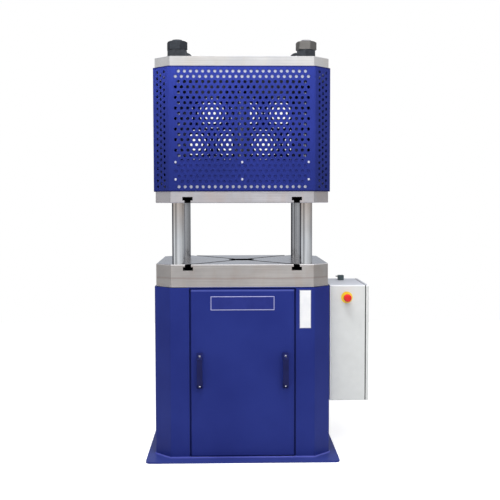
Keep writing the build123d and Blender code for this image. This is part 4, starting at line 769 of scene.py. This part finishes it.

# The top plate is paler. Under the guard it has a painted bluish reflection of the guard, and its
# underside is painted near-black as painted shade inside the guard.
top_steel, tree, principled, place, clean = ground_steel(
    "ground_steel_top_plate", "#f6f6f7", "#e8e8ea", "#ebe3d9"
)
height = add_node(tree, "ShaderNodeSeparateXYZ", links={0: place}).outputs["Z"]
covered = add_node(tree, "ShaderNodeMath", {"operation": "LESS_THAN", 1: guard_high.z}, {0: height})
guard_blue_painted = add_node(
    tree, "ShaderNodeMix", {"data_type": "RGBA", 7: linear("#eef1ff")}, {0: covered.outputs[0], 6: clean}
)
top_low, top_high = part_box("top_plate")
beneath = add_node(
    tree, "ShaderNodeMath", {"operation": "LESS_THAN", 1: top_low.z + clean_rim}, {0: height}
)
underside_shade_painted = add_node(
    tree, "ShaderNodeMix", {"data_type": "RGBA", 7: linear("#20243a")},
    {0: beneath.outputs[0], 6: guard_blue_painted.outputs[2]},
)
tree.links.new(underside_shade_painted.outputs[2], principled.inputs["Base Color"])
paint_nodes(top_steel, "top_plate")


# Columns and piston rod: hardened steel, ground, hard chromed and polished, with threads cut in the
# bare ends. Chrome is a cold near-white mirror with faint wiping marks. Below the ram plate it has a
# film of oil, brown on the front pair and darker on the rear pair.
oil_end = 1.41
# Only the rod is nearer to the middle than this, and only the front columns' fronts are beyond that
rod_reach = 0.2
column_front = -0.33
# The painted highlight down each front column, on the side towards the middle
highlight_reach = 0.311
highlight_half = 0.004
thread_start = top_high.z - clean_rim
chrome, tree, principled, place = new_material("hard_chrome_polished", Metallic=1.0)
parts = add_node(tree, "ShaderNodeSeparateXYZ", links={0: place}).outputs
wipe = add_node(tree, "ShaderNodeMapping", {"Scale": (30, 30, 8)}, {"Vector": place})
marks = add_node(tree, "ShaderNodeTexNoise", {"Scale": 1, "Detail": 5}, {"Vector": wipe.outputs[0]})
tint = add_node(
    tree, "ShaderNodeValToRGB", links={"Fac": marks.outputs["Fac"]},
    stops=[(0.3, "#d4d8de"), (0.7, "#e9ecf0")],
)
oil = add_node(
    tree, "ShaderNodeMapRange", {"From Min": 1.1, "From Max": 1.29, "To Max": 0.6}, {"Value": parts["Z"]}
)
below = add_node(tree, "ShaderNodeMath", {"operation": "LESS_THAN", 1: oil_end}, {0: parts["Z"]})
rear = add_node(tree, "ShaderNodeMath", {"operation": "GREATER_THAN", 1: rod_reach}, {0: parts["Y"]})
dulled = add_node(tree, "ShaderNodeMath", {"operation": "MULTIPLY", 1: 0.5}, {0: rear.outputs[0]})
thickest = add_node(
    tree, "ShaderNodeMath", {"operation": "MAXIMUM"}, {0: oil.outputs["Result"], 1: dulled.outputs[0]}
)
oil_and_painted_shade = add_node(
    tree, "ShaderNodeMath", {"operation": "MULTIPLY"}, {0: thickest.outputs[0], 1: below.outputs[0]}
)
film = add_node(
    tree, "ShaderNodeMix", {"data_type": "RGBA", 6: linear("#a88f78"), 7: linear("#3c3a40")},
    {0: rear.outputs[0]},
)
filmed = add_node(
    tree, "ShaderNodeMix", {"data_type": "RGBA"},
    {0: oil_and_painted_shade.outputs[0], 6: tint.outputs["Color"], 7: film.outputs[2]},
)
# Above the ram plate the columns are painted blue-grey, as painted shade and reflection of the guard, with a
# painted highlight in a strip down the front
reach = add_node(tree, "ShaderNodeMath", {"operation": "ABSOLUTE"}, {0: parts["X"]})
rod = add_node(tree, "ShaderNodeMath", {"operation": "LESS_THAN", 1: rod_reach}, {0: reach.outputs[0]})
highlight_band = add_node(
    tree, "ShaderNodeMath", {"operation": "COMPARE", 1: highlight_reach, 2: highlight_half}, {0: reach.outputs[0]}
)
facing = add_node(tree, "ShaderNodeMath", {"operation": "LESS_THAN", 1: column_front}, {0: parts["Y"]})
highlight_mask = add_node(
    tree, "ShaderNodeMath", {"operation": "MULTIPLY"}, {0: highlight_band.outputs[0], 1: facing.outputs[0]}
)
clear_of_blue = add_node(
    tree, "ShaderNodeMath", {"operation": "MAXIMUM"}, {0: below.outputs[0], 1: rod.outputs[0]}
)
clear_or_highlit = add_node(
    tree, "ShaderNodeMath", {"operation": "MAXIMUM"}, {0: clear_of_blue.outputs[0], 1: highlight_mask.outputs[0]}
)
guard_blue_painted = add_node(
    tree, "ShaderNodeMix", {"data_type": "RGBA", 6: linear("#5d628c")},
    {0: clear_or_highlit.outputs[0], 7: filmed.outputs[2]},
)
# The threads are painted dark on the left side and brighter on the right, as painted light from the right
side = add_node(tree, "ShaderNodeMath", {"operation": "GREATER_THAN", 1: 0}, {0: parts["X"]})
thread_steel = add_node(
    tree, "ShaderNodeMix", {"data_type": "RGBA", 6: linear("#4c4f54"), 7: linear("#b4b4b6")},
    {0: side.outputs[0]},
)
thread = add_node(tree, "ShaderNodeMath", {"operation": "GREATER_THAN", 1: thread_start}, {0: parts["Z"]})
finish = add_node(
    tree, "ShaderNodeMix", {"data_type": "RGBA"},
    {0: thread.outputs[0], 6: guard_blue_painted.outputs[2], 7: thread_steel.outputs[2]},
)
tree.links.new(finish.outputs[2], principled.inputs["Base Color"])
polish = add_node(
    tree, "ShaderNodeMapRange", {"To Min": 0.05, "To Max": 0.14}, {"Value": marks.outputs["Fac"]}
)
gloss = add_node(
    tree, "ShaderNodeMath", {"operation": "MULTIPLY_ADD", 1: 0.35},
    {0: thread.outputs[0], 2: polish.outputs["Result"]},
)
tree.links.new(gloss.outputs[0], principled.inputs["Roughness"])
paint_nodes(
    chrome, "column_front_left", "column_front_right", "column_rear_left", "column_rear_right", "piston_rod"
)


# Nuts, lifting eyes and large bolts: hot-forged steel with a black oxide finish. It is near-black
# and slightly oily. The lock nuts on the right side are painted light grey, as painted light from the right.
def forged(name, pale, deep):
    """Forged steel under oxide: blotches of scale 16 mm across and a dull oily gloss."""
    material, tree, principled, place = new_material(name, Metallic=0.8)
    scale_marks = add_node(tree, "ShaderNodeTexNoise", {"Scale": 60, "Detail": 6}, {"Vector": place})
    shade = add_node(
        tree, "ShaderNodeValToRGB", links={"Fac": scale_marks.outputs["Fac"]},
        stops=[(0.3, deep), (0.7, pale)],
    )
    tree.links.new(shade.outputs["Color"], principled.inputs["Base Color"])
    oil = add_node(
        tree, "ShaderNodeMapRange", {"To Min": 0.35, "To Max": 0.6}, {"Value": scale_marks.outputs["Fac"]}
    )
    tree.links.new(oil.outputs["Result"], principled.inputs["Roughness"])
    return material, tree, principled, place, shade.outputs["Color"]


black_oxide = forged("black_oxide_forged", "#43464c", "#313438")[0]
paint_nodes(black_oxide, "column_nuts", "cylinder_bolts", "rod_flange_bolts", "lifting_eyes")
lock_steel, tree, principled, place, dark = forged("lock_nut_forged", "#3c4046", "#2f3237")
# The right-hand ones are painted light grey, as painted light from the right
across = add_node(tree, "ShaderNodeSeparateXYZ", links={0: place}).outputs["X"]
side = add_node(tree, "ShaderNodeMath", {"operation": "GREATER_THAN", 1: 0}, {0: across})
sided = add_node(
    tree, "ShaderNodeMix", {"data_type": "RGBA", 7: linear("#6a6866")}, {0: side.outputs[0], 6: dark}
)
tree.links.new(sided.outputs[2], principled.inputs["Base Color"])
paint_nodes(lock_steel, "lock_nuts")


# Cylinder, its turned pieces and the guard's spacers: steel, bare and lightly oiled. The turning tool
# leaves fine rings round the axis, which dull the mirror a little.
turned, tree, principled, place = new_material("turned_steel_oiled", Metallic=1.0)
tool = add_node(tree, "ShaderNodeMapping", {"Scale": (4, 4, 420)}, {"Vector": place})
rings = add_node(tree, "ShaderNodeTexNoise", {"Scale": 1, "Detail": 3}, {"Vector": tool.outputs[0]})
bright = add_node(
    tree, "ShaderNodeValToRGB", links={"Fac": rings.outputs["Fac"]},
    stops=[(0.3, "#c3c5c8"), (0.7, "#dcdee0")],
)
tree.links.new(bright.outputs["Color"], principled.inputs["Base Color"])
polish = add_node(
    tree, "ShaderNodeMapRange", {"To Min": 0.22, "To Max": 0.36}, {"Value": rings.outputs["Fac"]}
)
tree.links.new(polish.outputs["Result"], principled.inputs["Roughness"])
paint_nodes(turned, "cylinder_gland", "piston", "rod_flange", "guard_spacers")

# The barrel is drawn steel tube, coloured dark blue-grey as painted shade and reflection of the blue guard
# round it, which it also mirrors
barrel_steel, tree, principled, place = new_material("drawn_tube_oiled", Metallic=1.0)
draw = add_node(tree, "ShaderNodeMapping", {"Scale": (160, 160, 6)}, {"Vector": place})
streaks = add_node(tree, "ShaderNodeTexNoise", {"Scale": 1, "Detail": 3}, {"Vector": draw.outputs[0]})
oil_and_painted_shade = add_node(
    tree, "ShaderNodeValToRGB", links={"Fac": streaks.outputs["Fac"]},
    stops=[(0.3, "#6a6f8a"), (0.7, "#868ba6")],
)
# A narrow strip down the front, a little left of the middle, is a painted highlight
barrel_highlight_x = -0.006
parts = add_node(tree, "ShaderNodeSeparateXYZ", links={0: place}).outputs
highlight_band = add_node(
    tree, "ShaderNodeMath", {"operation": "COMPARE", 1: barrel_highlight_x, 2: highlight_half}, {0: parts["X"]}
)
facing = add_node(tree, "ShaderNodeMath", {"operation": "LESS_THAN", 1: 0}, {0: parts["Y"]})
highlight_mask = add_node(
    tree, "ShaderNodeMath", {"operation": "MULTIPLY"}, {0: highlight_band.outputs[0], 1: facing.outputs[0]}
)
clear_or_highlit = add_node(
    tree, "ShaderNodeMix", {"data_type": "RGBA", 7: linear("#eceefa")},
    {0: highlight_mask.outputs[0], 6: oil_and_painted_shade.outputs["Color"]},
)
tree.links.new(clear_or_highlit.outputs[2], principled.inputs["Base Color"])
film = add_node(
    tree, "ShaderNodeMapRange", {"To Min": 0.1, "To Max": 0.2}, {"Value": streaks.outputs["Fac"]}
)
tree.links.new(film.outputs["Result"], principled.inputs["Roughness"])
paint_nodes(barrel_steel, "cylinder_barrel")


# Guide bushes: turned bronze, pressed into the ram plate round each column. It is a warm
# yellow-brown, and dull where oil has darkened it.
bronze, tree, principled, place = new_material("turned_bronze", Metallic=1.0, Roughness=0.36)
oil_marks = add_node(tree, "ShaderNodeTexNoise", {"Scale": 40, "Detail": 4}, {"Vector": place})
warm = add_node(
    tree, "ShaderNodeValToRGB", links={"Fac": oil_marks.outputs["Fac"]},
    stops=[(0.3, "#8f6a35"), (0.7, "#b88d4c")],
)
tree.links.new(warm.outputs["Color"], principled.inputs["Base Color"])
paint_nodes(
    bronze, "guide_bush_front_left", "guide_bush_front_right", "guide_bush_rear_left", "guide_bush_rear_right"
)


# Handles: two bows moulded in navy nylon and screwed to the panel. The plastic is half-matt with a
# fine grain, and darker than the coat under it.
def moulded(name, pale, deep, grain, roughness, metallic=0.0, gloss=0.5):
    """Moulded plastic, rubber or painted casting, with a fine grain and slight mottling."""
    material, tree, principled, place = new_material(
        name, Roughness=roughness, Metallic=metallic, Specular_IOR_Level=gloss
    )
    mottle = add_node(tree, "ShaderNodeTexNoise", {"Scale": 25, "Detail": 4}, {"Vector": place})
    colour = add_node(
        tree, "ShaderNodeValToRGB", links={"Fac": mottle.outputs["Fac"]}, stops=[(0.3, deep), (0.7, pale)]
    )
    tree.links.new(colour.outputs["Color"], principled.inputs["Base Color"])
    spark = add_node(tree, "ShaderNodeTexNoise", {"Scale": 1 / grain, "Detail": 2}, {"Vector": place})
    skin = add_node(
        tree, "ShaderNodeBump", {"Strength": 0.15, "Distance": grain / 6}, {"Height": spark.outputs["Fac"]}
    )
    tree.links.new(skin.outputs["Normal"], principled.inputs["Normal"])
    return material, tree, principled, place, colour.outputs["Color"]


fine_grain = 0.002
navy_nylon = moulded("navy_nylon_moulded", "#191d50", "#151947", fine_grain, 0.5, gloss=0.12)[0]
paint_nodes(navy_nylon, "handles")


# Sign plate and side plate: printed film on thin sheet, glued on. The sign plate is blue with a
# white line round it, and the side plate is pale with a light grey line.
film_grain = 0.004
for node, pale, deep, line, width in (
    ("sign_plate", "#26307c", "#212b74", "#b4b6de", 0.003),
    ("side_plate", "#ececee", "#e3e4e8", "#c4c6cf", 0.0025),
):
    film, tree, principled, place, ground = moulded(
        node + "_printed_film", pale, deep, film_grain, 0.4, gloss=0.16
    )
    low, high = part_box(node)
    centred = add_node(
        tree, "ShaderNodeVectorMath", {"operation": "SUBTRACT", 1: (low + high) / 2}, {0: place}
    )
    reach = add_node(tree, "ShaderNodeVectorMath", {"operation": "ABSOLUTE"}, {0: centred.outputs[0]})
    parts = add_node(tree, "ShaderNodeSeparateXYZ", links={0: reach.outputs[0]}).outputs
    inner = (high - low) / 2 - Vector((width, 0, width))
    upright = add_node(
        tree, "ShaderNodeMath", {"operation": "GREATER_THAN", 1: inner.x}, {0: parts["X"]}
    )
    level = add_node(
        tree, "ShaderNodeMath", {"operation": "GREATER_THAN", 1: inner.z}, {0: parts["Z"]}
    )
    border = add_node(
        tree, "ShaderNodeMath", {"operation": "MAXIMUM"}, {0: upright.outputs[0], 1: level.outputs[0]}
    )
    printed = add_node(
        tree, "ShaderNodeMix", {"data_type": "RGBA", 7: linear(line)}, {0: border.outputs[0], 6: ground}
    )
    tree.links.new(printed.outputs[2], principled.inputs["Base Color"])
    paint_nodes(film, node)


# Seals: black rubber, one ring on the piston and one cord behind the enclosure's door. It is almost
# black and quite matt.
sealing_rubber = moulded("sealing_rubber", "#202326", "#16181a", fine_grain, 0.7)[0]
paint_nodes(sealing_rubber, "piston_seal", "door_seal")


# Enclosure: folded and welded sheet with a light grey powder coat. Its front folds carry a painted
# highlight, and its top is painted a little darker and bluer as painted shade.
coat_grain = 0.003
grey_coat, tree, principled, place, grey = moulded(
    "light_grey_powder_coat", "#d8dad9", "#d3d5d4", coat_grain, 0.42
)
paint_nodes(grey_coat, "enclosure_body", "enclosure_door")
low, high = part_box("enclosure_body")
parts = add_node(tree, "ShaderNodeSeparateXYZ", links={0: place}).outputs
# Painted shade on the top, and a painted highlight along the upper and left folds of the front
top_skin = 0.0006
fold_width = 0.0045
top_mask = add_node(
    tree, "ShaderNodeMath", {"operation": "GREATER_THAN", 1: high.z - top_skin}, {0: parts["Z"]}
)
top_shaded = add_node(
    tree, "ShaderNodeMix", {"data_type": "RGBA", 7: linear("#d0d3dc")}, {0: top_mask.outputs[0], 6: grey}
)
upper_fold = add_node(
    tree, "ShaderNodeMath", {"operation": "GREATER_THAN", 1: high.z - fold_width}, {0: parts["Z"]}
)
left_fold = add_node(
    tree, "ShaderNodeMath", {"operation": "LESS_THAN", 1: low.x + fold_width}, {0: parts["X"]}
)
folds = add_node(
    tree, "ShaderNodeMath", {"operation": "MAXIMUM"}, {0: upper_fold.outputs[0], 1: left_fold.outputs[0]}
)
front = add_node(tree, "ShaderNodeMath", {"operation": "LESS_THAN", 1: low.y + fold_width}, {0: parts["Y"]})
bright = add_node(
    tree, "ShaderNodeMath", {"operation": "MULTIPLY"}, {0: folds.outputs[0], 1: front.outputs[0]}
)
enclosure_fold_highlight = add_node(
    tree, "ShaderNodeMix", {"data_type": "RGBA", 7: linear("#f2f3f6")},
    {0: bright.outputs[0], 6: top_shaded.outputs[2]},
)
tree.links.new(enclosure_fold_highlight.outputs[2], principled.inputs["Base Color"])


# Equipment and small fittings: painted sheet and castings, bare alloy and zinc, and moulded plastics.
# Most stand out of sight in the cabinet and the enclosure. Only the emergency stop is yellow and red,
# so that it is found at once.
for finish, pale, deep, grain, roughness, metallic, named in (
    ("galvanised_sheet", "#b4b8bc", "#9a9ea3", 0.01, 0.4, 1.0, ("mounting_plate", "enclosure_bracket")),
    ("grey_machine_paint", "#6d747c", "#626970", 0.004, 0.5, 0.0, ("oil_tank", "tank_lid", "motor")),
    ("dark_grey_sheet_paint", "#474c52", "#3e4348", 0.003, 0.45, 0.0, ("fan_cowl",)),
    ("cast_alloy", "#a3a6aa", "#8d9094", 0.002, 0.5, 1.0, ("bell_housing", "gear_pump")),
    ("milled_alloy", "#b9bcc0", "#a5a8ac", 0.002, 0.35, 1.0, ("valve_block",)),
    ("black_thermoset", "#24262a", "#1c1e21", 0.002, 0.45, 0.0, ("solenoid_valve", "pressure_gauge")),
    ("black_polyamide", "#55646a", "#3c484c", 0.002, 0.5, 0.0,
     ("filler_cap", "cable_socket", "socket_cap")),
    ("device_polyamide", "#4a4d52", "#3d4045", 0.002, 0.5, 0.0, ("switchgear",)),
    ("zinc_die_cast", "#b4b7bb", "#9fa2a6", 0.002, 0.4, 1.0,
     ("door_lock_upper", "door_lock_lower", "stop_stem")),
    ("yellow_polycarbonate", "#f4d23c", "#ecc430", 0.002, 0.3, 0.0, ("stop_ring", "stop_collar")),
    ("red_polycarbonate", "#ea1c1c", "#d81414", 0.002, 0.12, 0.0, ("stop_button",)),
):
    paint_nodes(moulded(finish, pale, deep, grain, roughness, metallic)[0], *named)

low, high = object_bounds()
